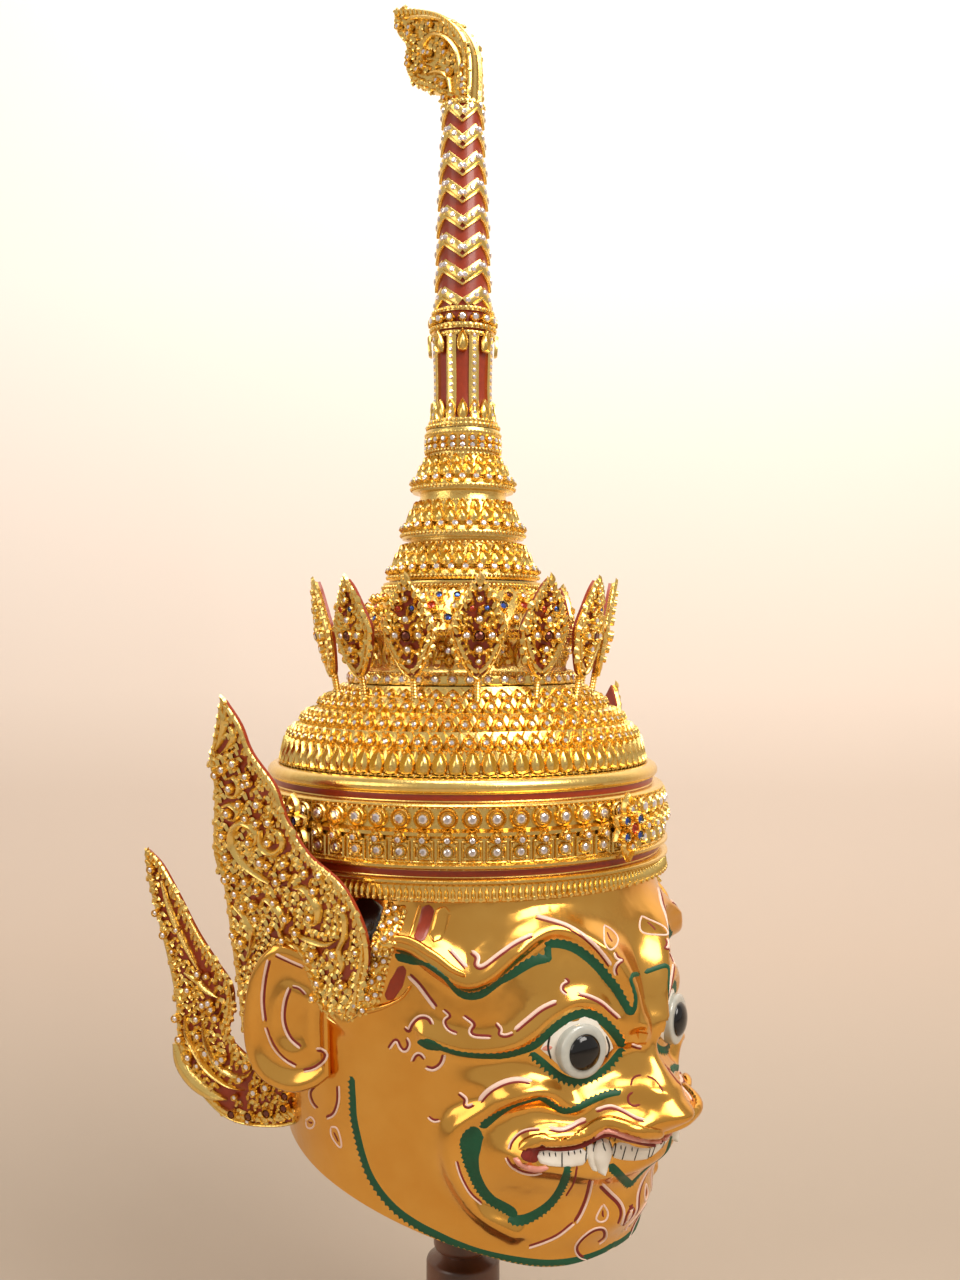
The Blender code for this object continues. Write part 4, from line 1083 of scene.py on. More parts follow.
PLAIN_TOP = ((1.0, 0.0), (0.0, 1.0), (-1.0, 0.0))
# A ridge starts this far into its swell, which is a sine to this power, and is this low at its ends
RIDGE_START = 0.12
RIDGE_POWER = 0.7
RIDGE_LOW = 0.35
RIDGE_LEAST = 0.02
# A curl winds by this many radians, in steps of this share of its size that grow shorter
CURL_STEPS = 5
CURL_TWIST = 20
CURL_WIND = 4.6
CURL_REACH = 0.42


def stamp(bm, template, places):
    """Add a copy of a small shape at every place."""
    for place in places:
        copy = template.copy()
        copy.transform(place)
        bm.from_mesh(copy)
        bpy.data.meshes.remove(copy)


def ring_places(count, radius, z, lean=0.0, phase=0.0, size=1.0):
    """Places round the axis, each facing outwards; a positive lean tips the top outwards."""
    tip = Matrix.Translation((0, -radius, z)) @ Matrix.Rotation(math.radians(lean), 4, "X")
    return [Matrix.Rotation(2 * math.pi * (n + phase) / count, 4, "Z") @ tip @ Matrix.Scale(size, 4)
            for n in range(count)]


def shift(x=0.0, y=0.0, z=0.0):
    """A move by some mm: across, back and up."""
    return Matrix.Translation((x * MM, y * MM, z * MM))


def casting(profile, radius, height, steps):
    """A small turned casting, in mm, that faces the front."""
    bm = spun([(share * radius * MM, rise * height * MM) for share, rise in profile], steps)
    bmesh.ops.rotate(bm, cent=(0, 0, 0), matrix=Matrix.Rotation(math.radians(90), 3, "X"), verts=bm.verts)
    return to_template(bm)


def petal(width, height, depth, form=PETAL_RINGS):
    """A lotus petal, in mm: a raised arch with a drop inside, or a plain one."""
    outline = [(x * width * MM, z * height * MM) for x, z in PETAL_OUTLINE]
    rings = [(out, lift * depth) for out, lift in form]
    return to_template(wrapped_grid(leaf_places(outline, (0, PETAL_MIDDLE * height * MM), rings)))


def ridge(bm, points, width, height, sink=0.0008, sharp_ends=True, top=ROUND_TOP):
    """A raised curl along flat points (across, up): narrow at both ends, rounded on top."""
    points = np.array(points, float)
    way = np.gradient(points, axis=0)
    way /= np.linalg.norm(way, axis=1)[:, None] + 1e-9
    side = np.stack([-way[:, 1], way[:, 0]], axis=1)
    last = len(points) - 1
    rows = []
    for number, point in enumerate(points):
        share = number / last
        phase = min(1.0, RIDGE_START + share * (1 - RIDGE_START))
        swell = max(RIDGE_LEAST, math.sin(math.pi * phase) ** RIDGE_POWER) if sharp_ends else 1.0
        half = 0.5 * width * swell
        lift = height * (RIDGE_LOW + (1 - RIDGE_LOW) * swell)
        rows.append([(*(point + side[number] * out * half), -rise * lift) for out, rise in top]
                    + [(*point, sink)])
    first, end = np.array(rows[0]).mean(axis=0), np.array(rows[-1]).mean(axis=0)
    rows = [[first] * len(rows[0])] + rows + [[end] * len(rows[0])]
    join(bm, wrapped_grid(np.array([[(x, y, z) for x, z, y in row] for row in rows])))


def curl_leaf(size, flip):
    """A comma-shaped flame: a stem that winds inwards and hooks over at its tip."""
    path = [np.zeros(2)]
    for step in range(CURL_STEPS + 1):
        share = step / CURL_STEPS
        swing = math.radians(90 - flip * CURL_TWIST) + flip * share * CURL_WIND
        reach = size * (1 - share) ** 0.8 * CURL_REACH
        path.append(path[-1] + np.array([math.cos(swing), math.sin(swing)]) * reach)
    bm = bmesh.new()
    ridge(bm, path, 0.5 * size, 0.28 * size, top=PLAIN_TOP)
    return to_template(bm)


BEAD = casting(BEAD_PROFILE, 1.0, 1.0, 8)
STONE = casting(STONE_PROFILE, 1.0, 1.0, 8)
CUP = casting(CUP_PROFILE, 1.0, 1.0, 12)
print("castings:", len(BEAD.polygons), len(STONE.polygons), len(CUP.polygons), "faces")

# %% [markdown]
# ## The crown's stages in layers
# Each stage is a turned core with its castings, and its stones are a piece of their own, so
# that gold and glass can be picked apart. One helper collects what belongs together.

# %% Layers
LAYERS = {
    "gold": (GILT, "gilt_ornament"), "clear": (CLEAR_STONE, "rhinestones"),
    "blue": (BLUE_STONE, "rhinestones"), "red": (RED_STONE, "rhinestones"),
    "amber": (AMBER_STONE, "rhinestones"), "lacquer": (RED_LACQUER, "red_lacquer"),
}


class Stage:
    """The meshes of one part of the crown, one for each finish."""

    def __init__(self, name, foot=0.0):
        self.name = name
        self.foot = foot
        self.layers = {}

    def layer(self, finish):
        """The mesh that collects one finish."""
        return self.layers.setdefault(finish, bmesh.new())

    def add(self, finish, template, places):
        """Stamp a small shape into one finish."""
        stamp(self.layer(finish), template, places)

    def places(self, count, radius, z, lean=0.0, phase=0.0, size=1.0):
        """Places round the axis; radius and height over the stage's foot are in mm."""
        return ring_places(count, radius * MM, self.foot + z * MM, lean, phase, size)

    def ring(self, finish, template, *args, **options):
        """Stamp a ring of one small shape, and give its places."""
        places = self.places(*args, **options)
        self.add(finish, template, places)
        return places

    def stones(self, places, size, lift, cup=0.0, finish="clear"):
        """Put a stone at every place, lifted by some mm, over a cup if that has a size."""
        if cup:
            self.add("gold", CUP, [place @ Matrix.Scale(cup, 4) for place in places])
        self.add(finish, STONE, [place @ shift(y=-lift) @ Matrix.Scale(size, 4) for place in places])

    def turned(self, finish, profile, steps):
        """Add a turned ring with a closed profile of (radius, height over the foot) in mm."""
        closed = [(radius * MM, self.foot + z * MM) for radius, z in (*profile, profile[0])]
        join(self.layer(finish), spun(closed, steps))

    def finish(self, nodes=(), mirrored=False):
        """Make the pieces, with their mirror images if wanted; the gold one stands for the nodes."""
        for finish, bm in self.layers.items():
            material, slot = LAYERS[finish]
            make_piece(self.name + "_" + finish, mirror_copy(bm) if mirrored else bm, material,
                       STONE_CREASE if slot == "rhinestones" else CASTING_CREASE,
                       nodes if finish == "gold" else ())


print("finishes of the crown:", ", ".join(LAYERS))

# %% [markdown]
# ## The crown band
# From the bottom: a fluted foot with a bead row, a red stripe between gold lips, square and
# round settings with a zigzag of leaves between them, a second red stripe, and a plain roll.

# %% Crown band
BAND_COUNT = 60
FLUTES = 216
BAND_BEADS = 240
BAND_SIDES = 240
STRIPE_SIDES = 160
# Radius, foot and head of the two lacquer stripes
STRIPES = ((106.3, 11.6, 14.6), (102.6, 46.3, 49.5))
# Radius and height over the band's foot, in mm
BAND_CORE = (
    (103.0, 0.0), (107.6, 0.0), (108.4, 0.8), (108.2, 7.6), (109.6, 8.4), (110.6, 9.2), (110.6, 10.2),
    (109.6, 11.0), (106.4, 11.3), (105.9, 13.0), (106.4, 14.9), (109.2, 15.2), (110.6, 16.2),
    (110.6, 17.4), (109.4, 18.2), (107.6, 18.6), (107.6, 29.6), (109.6, 31.0), (109.6, 32.6), (106.6, 34.0),
    (106.4, 43.4), (107.6, 43.8), (108.4, 44.6), (107.6, 45.6), (102.8, 46.0), (102.0, 48.0),
    (102.8, 49.8), (104.2, 50.2), (105.2, 51.6), (105.2, 53.6), (104.2, 55.4), (102.0, 56.8),
    (99.5, 56.8), (98.5, 56.0), (101.0, 50.0), (103.0, 40.0),
)


def make_band():
    """The band with its flutes, settings, leaves and stones."""
    band = Stage("band", BAND_Z)
    band.turned("gold", BAND_CORE, BAND_SIDES)
    for radius, low, high in STRIPES:
        band.turned("lacquer", ((radius - 2, low), (radius, low), (radius + 0.25, (low + high) / 2),
                                (radius, high), (radius - 2, high)), STRIPE_SIDES)
    flute = bmesh.new()
    ridge(flute, [(0, z * MM) for z in (0.8, 2.5, 5.0, 7.4)], 2.5 * MM, 1.9 * MM)
    band.ring("gold", to_template(flute), FLUTES, 108.4, 0)
    band.ring("gold", BEAD, FLUTES // 2, 109.6, 1.6, size=1.25)
    band.ring("gold", casting(CUP_PROFILE, 4.9, 2.6, 16), BAND_COUNT, 106.8, 38.7)
    band.ring("gold", casting(CUP_PROFILE, 3.1, 1.6, 12), BAND_COUNT, 108.4, 38.7)
    band.ring("clear", STONE, BAND_COUNT, 109.4, 38.7, size=2.5)
    leaf = petal(4.4, 7.6, 1.6)
    for lean, phase in ((-36, 0.20), (36, -0.20)):
        tip = Matrix.Rotation(math.radians(lean), 4, "Y")
        band.add("gold", leaf, [place @ tip for place in band.places(BAND_COUNT, 109.0, 28.2, 6, phase)])
    band.ring("gold", casting(CUP_PROFILE, 2.1, 1.4, 10), BAND_COUNT, 110.6, 29.2)
    band.ring("clear", STONE, BAND_COUNT, 111.7, 29.2, size=1.55)
    square = bmesh.new()
    for start, end in (((-4.3, 0), (-4.3, 9.4)), ((4.3, 0), (4.3, 9.4)), ((-4.6, 0), (4.6, 0)),
                       ((-4.6, 9.4), (4.6, 9.4))):
        ridge(square, np.linspace(start, end, 4) * MM, 1.5 * MM, 1.5 * MM, sharp_ends=False)
    band.ring("gold", to_template(square), BAND_COUNT, 107.8, 18.9)
    band.ring("gold", casting(CUP_PROFILE, 3.3, 1.9, 12), BAND_COUNT, 107.8, 23.4)
    band.ring("clear", STONE, BAND_COUNT, 109.0, 23.4, size=2.1)
    for x, z in ((-3.2, 20.4), (3.2, 20.4), (-3.2, 26.4), (3.2, 26.4)):
        band.add("gold", BEAD, [place @ shift(x) for place in band.places(BAND_COUNT, 108.0, z)])
    for radius, z in ((108.4, 18.6), (107.2, 43.4)):
        band.ring("gold", BEAD, BAND_BEADS, radius, z, size=0.8)
    band.finish(["crown_band"])


make_band()

# %% [markdown]
# ## The terrace
# Four steps lead up from the band, with five rows of lotus petals that lean in. The four upper
# rows have a stone on each petal. The petals of a row are half a step away from those below.

# %% Terrace
TERRACE_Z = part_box("crown_terrace")[0].z
# Radius and height of each step's face over the terrace's foot, petal count, petal height, stone radius
PETAL_ROWS = (
    (97.5, 0.6, 78, 13.4, 0.0), (93.5, 11.2, 72, 9.6, 1.6), (86.5, 19.4, 66, 9.2, 1.6),
    (77.0, 27.6, 58, 8.8, 1.5), (68.5, 33.4, 52, 7.4, 1.4),
)
TERRACE_CORE = (
    (60.0, 0.3), (98.6, 0.3), (98.8, 1.2), (97.0, 2.0), (94.4, 12.0), (92.6, 12.6), (88.4, 20.6),
    (85.4, 21.0), (79.0, 28.8), (76.0, 29.2), (70.0, 36.0), (67.4, 36.8), (66.0, 41.4), (58.0, 41.6),
    (56.0, 30.0),
)
FIRST_LEAN = -12
STEP_LEAN = -24
PETAL_FILL = 0.98
TERRACE_SIDES = 156


def make_terrace():
    """The four steps with their petals and stones."""
    terrace = Stage("terrace", TERRACE_Z)
    terrace.turned("gold", TERRACE_CORE, TERRACE_SIDES)
    for row, (radius, z, count, height, stone) in enumerate(PETAL_ROWS):
        width = 2 * math.pi * radius / count * PETAL_FILL
        lean = STEP_LEAN if row else FIRST_LEAN
        phase = 0.5 * (row % 2)
        leaves = terrace.ring("gold", petal(width, height, 2.3), count, radius, z, lean, phase)
        sliver = petal(width * 0.5, height * 0.8, 1.2, PLAIN_RINGS)
        terrace.ring("gold", sliver, count, radius - 1.2, z + 3.0, lean, phase + 0.5)
        terrace.ring("gold", BEAD, 2 * count, radius + 0.9, z, size=0.95)
        if stone:
            raised = [place @ shift(y=-1.7, z=0.42 * height) for place in leaves]
            terrace.stones(raised, stone, 1.0, stone + 0.6)
    terrace.finish(["crown_terrace"])


make_terrace()

# %% [markdown]
# ## The drum
# The drum is a fluted bowl under a jewelled ring. Fields of curled flames cover its shoulder;
# between them sit red and blue stones, as they come to a maker's hand.

# %% Drum
DRUM_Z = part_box("crown_drum")[0].z
DRUM_CORE = (
    (40.0, 0.0), (62.0, 0.0), (62.4, 1.0), (61.4, 4.6), (58.6, 5.2), (56.4, 7.4), (54.6, 12.0),
    (54.0, 20.0), (55.8, 24.6), (58.6, 26.4), (59.0, 28.0), (57.6, 29.6), (55.6, 33.0),
    (50.4, 41.0), (45.4, 47.0), (42.6, 50.0), (43.6, 51.4), (43.4, 53.4), (30.0, 53.6),
)
DRUM_SIDES = 120
# Rows of beads: radius, height, count and size
DRUM_BEADS = ((59.0, 5.6, 140, 1.0), (59.4, 27.4, 150, 1.1), (58.8, 24.6, 150, 0.8), (43.8, 51.0, 110, 1.0))
# Rows of curls and of mixed stones: radius, height, count and lean, and the size of the stones
DRUM_CURLS = ((57.4, 29.4, 44, -30), (54.6, 34.0, 42, -34), (51.4, 38.6, 38, -36), (48.0, 43.0, 36, -38),
              (45.0, 46.8, 32, -38))
DRUM_STONES = ((58.0, 33.0, 42, -30, 1.7), (53.4, 39.0, 28, -34, 2.1), (48.6, 44.6, 34, -36, 1.5))
MIXED_STONES = ("clear", "clear", "clear", "red", "blue", "amber")
BLOSSOMS = 14


def make_drum():
    """The drum with its ring of stones, blossoms and curled flames."""
    drum = Stage("drum", DRUM_Z)
    stone_mix = random.Random(7)
    drum.turned("gold", DRUM_CORE, DRUM_SIDES)
    drum.stones(drum.ring("gold", casting(CUP_PROFILE, 2.9, 1.3, 12), 44, 61.4, 2.7), 2.1, 1.0)
    for radius, z, count, size in DRUM_BEADS:
        drum.ring("gold", BEAD, count, radius, z, size=size)
    drum.ring("gold", petal(5.4, 15.0, 1.6), 56, 54.6, 8.0)
    curls = {flip: curl_leaf(5.4 * MM, flip) for flip in (1, -1)}
    for row, (radius, z, count, lean) in enumerate(DRUM_CURLS):
        for flip, curl in curls.items():
            drum.ring("gold", curl, count, radius, z, lean, 0.5 * (row % 2) + 0.14 * flip)
    for row, (radius, z, count, lean, size) in enumerate(DRUM_STONES):
        for place in drum.places(count, radius, z, lean, 0.25 * row):
            drum.stones([place @ shift(y=-0.3)], size, 1.2, size + 0.7, stone_mix.choice(MIXED_STONES))
    leaf = petal(5.4, 7.0, 1.8)
    for place in drum.places(BLOSSOMS, 54.8, 17.0):
        for turn in range(0, 360, 60):
            spread = place @ Matrix.Rotation(math.radians(turn), 4, "Y")
            drum.add("gold", leaf, [spread @ shift(y=-0.8, z=1.2)])
        drum.stones([place @ shift(y=-3.0)], 1.9, 2.0, 2.4)
    drum.finish(["crown_drum"])


make_drum()

# %% [markdown]
# ## The tiers
# Three bells stand on one another under a collar. Each has a bead edge, a row of petals that
# opens downwards like a skirt, and a belt of stones above it.

# %% Tiers
TIERS_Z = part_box("crown_tiers")[0].z
TIERS_CORE = (
    (0.0, 0.0), (40.0, 0.0), (41.0, 1.2), (40.6, 3.0), (37.0, 6.0), (34.6, 12.0), (32.2, 17.0),
    (29.0, 20.6), (29.0, 22.4), (33.0, 22.8), (33.6, 24.4), (32.8, 26.6), (29.6, 29.6), (27.6, 35.0),
    (25.6, 40.6), (23.4, 45.6), (23.4, 47.6), (27.4, 48.2), (28.0, 49.8), (27.2, 52.0), (24.0, 55.0),
    (21.6, 61.0), (19.0, 66.0), (18.6, 69.0), (19.2, 71.0), (19.0, 77.0), (20.4, 78.4), (20.8, 80.0),
    (20.0, 81.8), (0.0, 81.8),
)
# Radius and height of a bead row, the count, and the petals' height above it
TIER_ROWS = ((41.0, 2.0, 34, 9.0), (33.4, 25.0, 28, 9.5), (27.8, 50.2, 24, 8.5))
TIER_SIDES = 96


def make_tiers():
    """The bells with petals, beads and stones."""
    tiers = Stage("tiers", TIERS_Z)
    join(tiers.layer("gold"), spun([(radius * MM, TIERS_Z + z * MM) for radius, z in TIERS_CORE],
                                   TIER_SIDES))
    for radius, z, count, height in TIER_ROWS:
        width = 2 * math.pi * radius / count
        tiers.ring("gold", BEAD, 3 * count, radius + 0.2, z, size=1.1)
        tiers.stones(tiers.places(count, radius - 1.2, z + 3.6, -28), 1.8, 1.8, 2.3)
        tiers.ring("gold", petal(width, height, 2.2), count, radius - 3.8, z + 5.0, -16, 0.5)
        small = petal(width * 0.8, height * 0.8, 1.8)
        tiers.ring("gold", small, count - 4, radius - 6.6, z + 11.0, -14)
        tiers.ring("gold", BEAD, 2 * count, radius - 8.6, z + 17.6)
    for z in (72.2, 76.0):
        tiers.stones(tiers.places(24, 19.0, z), 1.6, 1.5, 2.1)
    for z in (70.2, 79.6):
        tiers.ring("gold", BEAD, 60, 20.2, z)
    tiers.finish(["crown_tiers"])


make_tiers()

# %% [markdown]
# ## The spire
# The spire is a red lacquer shaft with gold and stones over it. The lower part has upright
# straps with red panels between them. Above a collar the straps go round in chevrons, each over
# a thin gold lip, and the lacquer shows in the slanting gaps.

# %% Spire
SPIRE_Z, SPIRE_TOP = (corner.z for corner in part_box("crown_spire"))
SPIRE_SHAPE = ((0.0, 17.0), (0.05, 15.6), (0.28, 15.2), (0.32, 14.8), (0.6, 13.0), (1.0, 10.2))
LOWER_SHARE = 0.29
COLLAR_SHARE = 0.37
SECTORS = 8
CHEVRON_PITCH = 0.0148
CHEVRON_RISE = 0.0085
# Section of a strap: share of its half width and height in mm
STRAP_SECTION = ((1, -0.2), (1, 1.0), (0.6, 1.5), (-0.6, 1.5), (-1, 1.0), (-1, -0.2))
# Drop, width and stone radius of a chevron and of the lip under it, in mm
CHEVRON_STRAPS = ((0.0, 5.0, 1.7), (4.2, 1.5, 0.0))
# The first stone of a strap and the next ones come after this many stone radii
FIRST_STONE = 1.1
STONE_PITCH = 2.3
SPIRE_SIDES = 48
COLLAR_SIDES = 64


def spire_radius(z):
    """Radius of the lacquered shaft at a height, in metres."""
    return float(smooth_curve(SPIRE_SHAPE, (z - SPIRE_Z) / (SPIRE_TOP - SPIRE_Z))) * MM


def spire_strap(stage, route, width, stone):
    """A strap along a route of (angle in turns, height), with a row of small stones on it."""
    points = [(turn, z, spire_radius(z)) for turn, z in route]
    rows = []
    for number, (turn, z, radius) in enumerate(points):
        before = points[max(number - 1, 0)]
        after = points[min(number + 1, len(points) - 1)]
        run = 2 * math.pi * (after[0] - before[0]) * radius
        rise = after[1] - before[1]
        length = math.hypot(run, rise)
        row = []
        for out, lift in STRAP_SECTION:
            angle = 2 * math.pi * turn + out * 0.5 * width * rise / length / radius
            height = z - out * 0.5 * width * run / length
            reach = radius + lift * MM
            row.append((math.sin(angle) * reach, -math.cos(angle) * reach, height))
        rows.append(row)
    caps = [[np.mean(rows[end], axis=0)] * len(STRAP_SECTION) for end in (0, -1)]
    join(stage.layer("gold"), wrapped_grid(np.array([caps[0]] + rows + [caps[1]])))
    along = (STONE_PITCH - FIRST_STONE) * stone
    for (turn, z, radius), (next_turn, next_z, _) in zip(points, points[1:]):
        along += math.hypot(2 * math.pi * (next_turn - turn) * radius, next_z - z)
        if not stone or along < STONE_PITCH * stone:
            continue
        along = 0.0
        stage.add("clear", STONE, ring_places(1, radius + 1.5 * MM, z, phase=turn, size=stone / MM))


def make_spire():
    """Shaft, straps, collar and chevrons."""
    spire = Stage("spire")
    height = SPIRE_TOP - SPIRE_Z
    shaft = [(0.0, SPIRE_Z)] + [(spire_radius(SPIRE_Z + share * height), SPIRE_Z + share * height)
                                for share in np.linspace(0, 1, 30)] + [(0.0, SPIRE_TOP)]
    join(spire.layer("lacquer"), spun(shaft, SPIRE_SIDES))
    lower = SPIRE_Z + LOWER_SHARE * height
    upper = SPIRE_Z + COLLAR_SHARE * height
    for n in range(SECTORS):
        route = [((n + 0.5) / SECTORS, z) for z in np.linspace(SPIRE_Z + 3 * MM, lower, 40)]
        spire_strap(spire, route, 5.4 * MM, 1.25 * MM)
    rows = int((SPIRE_TOP - upper) / CHEVRON_PITCH) + 1
    for sector in range(SECTORS):
        rising = sector % 2
        for row in range(-1, rows):
            start = upper + row * CHEVRON_PITCH
            ends = (start, start + CHEVRON_RISE) if rising else (start + CHEVRON_RISE, start)
            for drop, width, stone in CHEVRON_STRAPS:
                route = [((sector + share - 0.02 + 0.04 * share) / SECTORS,
                          ends[0] + (ends[1] - ends[0]) * share - drop * MM)
                         for share in np.linspace(0, 1, 9)]
                route = [(turn, z) for turn, z in route if upper < z < SPIRE_TOP - 1 * MM]
                if len(route) > 2:
                    spire_strap(spire, route, width * MM, stone * MM)
    for z, size, count, proud in ((SPIRE_Z + 1.4 * MM, 1.3, 44, 2.4), (SPIRE_Z + 4.0 * MM, 1.0, 44, 1.6),
                                  (lower - 1 * MM, 1.2, 40, 1.6), (lower + 3 * MM, 1.5, 34, 2.2),
                                  (upper - 2 * MM, 1.2, 36, 1.8), (SPIRE_TOP - 1.5 * MM, 1.2, 30, 1.2)):
        radius, level = spire_radius(z) / MM, z / MM
        spire.ring("gold", BEAD, count, radius + proud, level, size=size)
        spire.turned("gold", ((radius - 1, level - size), (radius + proud, level - size),
                              (radius + proud, level + size), (radius - 1, level + size)), COLLAR_SIDES)
    middle = (lower + upper) / 2
    spire.stones(ring_places(16, spire_radius(middle) + 1.6 * MM, middle), 2.0, 2.0, 2.6)
    leaf = petal(6.0, 12.0, 1.6)
    spire.add("gold", leaf, ring_places(8, spire_radius(middle) + 2.4 * MM, lower - 11 * MM, 4))
    spire.add("gold", leaf, ring_places(16, 16.6 * MM, SPIRE_Z + 4 * MM, -3))
    spire.finish(["crown_spire"])


make_spire()

# %% [markdown]
# ## Flames of filigree
# All flames are made alike: a thin lacquered plate, red at the back, a gold rim round it, a few
# large scrolls, and between them a dense growth of small curls that lean towards the tip. Stones
# in cups are scattered among the curls. The places are drawn at random from a fixed seed, but no
# two are closer than a set spacing, as when a maker fills a ground by eye.

# %% Filigree
PLATE_DEPTH = 3.0 * MM
CURL_SIZES = (5.0, 5.8, 6.6)
SMALL_CURL = 3.2
CURLS = {(size, flip): curl_leaf(size * MM, flip) for size in (SMALL_CURL, *CURL_SIZES) for flip in (1, -1)}
# Main scrolls stand out by this factor, and the curls between them keep this far off
SCROLL_SWELL = 1.35
SCROLL_CLEAR = 0.0012
SMALL_LEAF = petal(2.6, 5.6, 1.5, PLAIN_RINGS)
LEAF_PITCH = 2.9 * MM
LEAF_INSET = 2.6 * MM
# Castings keep this far off the edge; cups stand this high; a stone between the curls is this big
EDGE_CLEAR = 1.6 * MM
SEAT_LIFT = 1.6 * MM
FREE_STONE = 1.5
# Places tried for each square of the spacing
TRIES = 26
# Spread of the drawn values: a curl's lean in degrees and lift in mm, and the size of free stones
CURL_LEAN = (10, 50)
CURL_LIFT = (0.0, 0.8)
STONE_SPREAD = (0.8, 1.15)
# A curl's root lies this share of its size behind its place; edge leaves point outwards this much
CURL_ROOT = 0.35
LEAF_OUTWARDS = 0.8


def inside(points, outline):
    """Which of the flat points lie in a closed outline."""
    x, z = points[:, 0, None], points[:, 1, None]
    x0, z0 = outline.T
    x1, z1 = np.roll(outline, -1, axis=0).T
    rise = np.where(z1 == z0, 1e-9, z1 - z0)
    crossed = ((z0 > z) != (z1 > z)) & (x < x0 + (z - z0) * (x1 - x0) / rise)
    return crossed.sum(axis=1) % 2 == 1


def edge_distance(points, outline):
    """Distance of each flat point from a closed outline."""
    run = np.roll(outline, -1, axis=0) - outline
    away = points[:, None, :] - outline
    along = np.clip((away * run).sum(axis=2) / (run * run).sum(axis=1), 0, 1)
    return np.linalg.norm(away - along[..., None] * run, axis=2).min(axis=1)


def plate_body(outline, depth):
    """A plate with its front in the plane and its back behind it."""
    bm = bmesh.new()
    face = bm.faces.new([bm.verts.new((x, 0, z)) for x, z in outline])
    grown = bmesh.ops.extrude_face_region(bm, geom=[face])["geom"]
    bmesh.ops.translate(bm, vec=(0, depth, 0), verts=[g for g in grown if isinstance(g, bmesh.types.BMVert)])
    bmesh.ops.recalc_face_normals(bm, faces=bm.faces)
    bmesh.ops.triangulate(bm, faces=bm.faces)
    return bm


def flat_place(x, z, turn, lift):
    """A place on a plate: turn is the direction of the shape's top, in degrees from across."""
    return Matrix.Translation((x, -lift, z)) @ Matrix.Rotation(math.radians(90 - turn), 4, "Y")


def filigree(stage, matrix, outline, tip, scrolls, stones, spacing, seed, share, rim=2.2, ground="lacquer"):
    """Fill one plate; flat places are in metres on the plate, spacing, rim and sizes in mm."""
    draw = random.Random(seed)
    plate = Stage("plate")
    outline, tip = np.array(outline), np.array(tip)
    following = np.roll(outline, -1, axis=0)
    join(plate.layer(ground), plate_body(outline, PLATE_DEPTH))
    gold = plate.layer("gold")
    ridge(gold, [*outline, *outline[:2]], rim * MM, 1.7 * MM, 1.5 * MM, sharp_ends=False)
    low, high = outline.min(axis=0), outline.max(axis=0)
    tries = int(TRIES * (high - low).prod() / (spacing * MM) ** 2)
    spots = np.random.default_rng(seed).uniform(low, high, (tries, 2))
    spots = spots[inside(spots, outline)]
    spots = spots[edge_distance(spots, outline) > EDGE_CLEAR]
    for points, width, height in scrolls:
        line, width = rounded(points, 5), SCROLL_SWELL * width * MM
        ridge(gold, line, width, SCROLL_SWELL * height * MM)
        gaps = np.linalg.norm(spots[:, None, :] - line, axis=2).min(axis=1)
        spots = spots[gaps > 0.5 * width + SCROLL_CLEAR]
    taken = [(x, z) for x, z, _, _ in stones]
    kinds = [(size, finish) for _, _, size, finish in stones]
    for spot in spots:
        if not taken or np.linalg.norm(np.array(taken) - spot, axis=1).min() >= spacing * MM:
            taken.append(spot)
            kinds.append((0.0, "clear" if draw.random() < share else "curl"))
    middle = outline.mean(axis=0)
    for spot, (size, kind) in zip(np.array(taken), kinds):
        if kind != "curl":
            size = size or FREE_STONE * draw.uniform(*STONE_SPREAD)
            plate.stones([flat_place(*spot, 90, SEAT_LIFT)], size, 0.8 * size, size + 0.6, kind)
            continue
        side = 1 if np.cross(tip - middle, spot - middle) > 0 else -1
        size = draw.choice(CURL_SIZES)
        turn = math.degrees(math.atan2(*(tip - spot)[::-1])) + side * draw.uniform(*CURL_LEAN)
        way = np.array([math.cos(math.radians(turn)), math.sin(math.radians(turn))])
        base = spot - CURL_ROOT * size * MM * way
        lift = draw.uniform(*CURL_LIFT) * MM
        plate.add("gold", CURLS[size, side], [flat_place(*base, turn + side * CURL_TWIST, lift)])
    turning = np.sign((outline[:, 0] * following[:, 1] - outline[:, 1] * following[:, 0]).sum())
    walk = 0.0
    for start, run in zip(outline, following - outline):
        walk += np.linalg.norm(run)
        if walk < LEAF_PITCH:
            continue
        walk = 0.0
        outward = turning * np.array([run[1], -run[0]]) / np.linalg.norm(run)
        way = outward * LEAF_OUTWARDS + (tip - start) / np.linalg.norm(tip - start)
        turn = math.degrees(math.atan2(*way[::-1]))
        plate.add("gold", SMALL_LEAF, [flat_place(*(start - outward * LEAF_INSET), turn, 0.6 * MM)])
    for finish, bm in plate.layers.items():
        join(stage.layer(finish), bm, matrix)


def plate_point(pixel, matrix):
    """Where a point of the picture falls on the near plate, as flat (across, up) metres."""
    inverse = (Matrix.Scale(-1, 4, (1, 0, 0)) @ matrix).inverted()
    start = inverse @ camera.location
    ray = inverse.to_3x3() @ pixel_ray(*pixel)
    spot = start - ray * (start.y / ray.y)
    return spot.x, spot.z


def sharp_outline(paths, width, height, steps=5):
    """An outline of rounded runs that meet in corners, as flat metres."""
    points = []
    for path in paths:
        run = rounded([(x * width, z * height) for x, z in path], steps)
        points += [tuple(point) for point in run[:-1]]
    return points


# %% [markdown]
# ## The side flames
# Behind each ear stands a tall flame that licks up past the band, and behind it a lower one that
# sweeps back. Their large scrolls are read off the photograph; the ground between is filled.

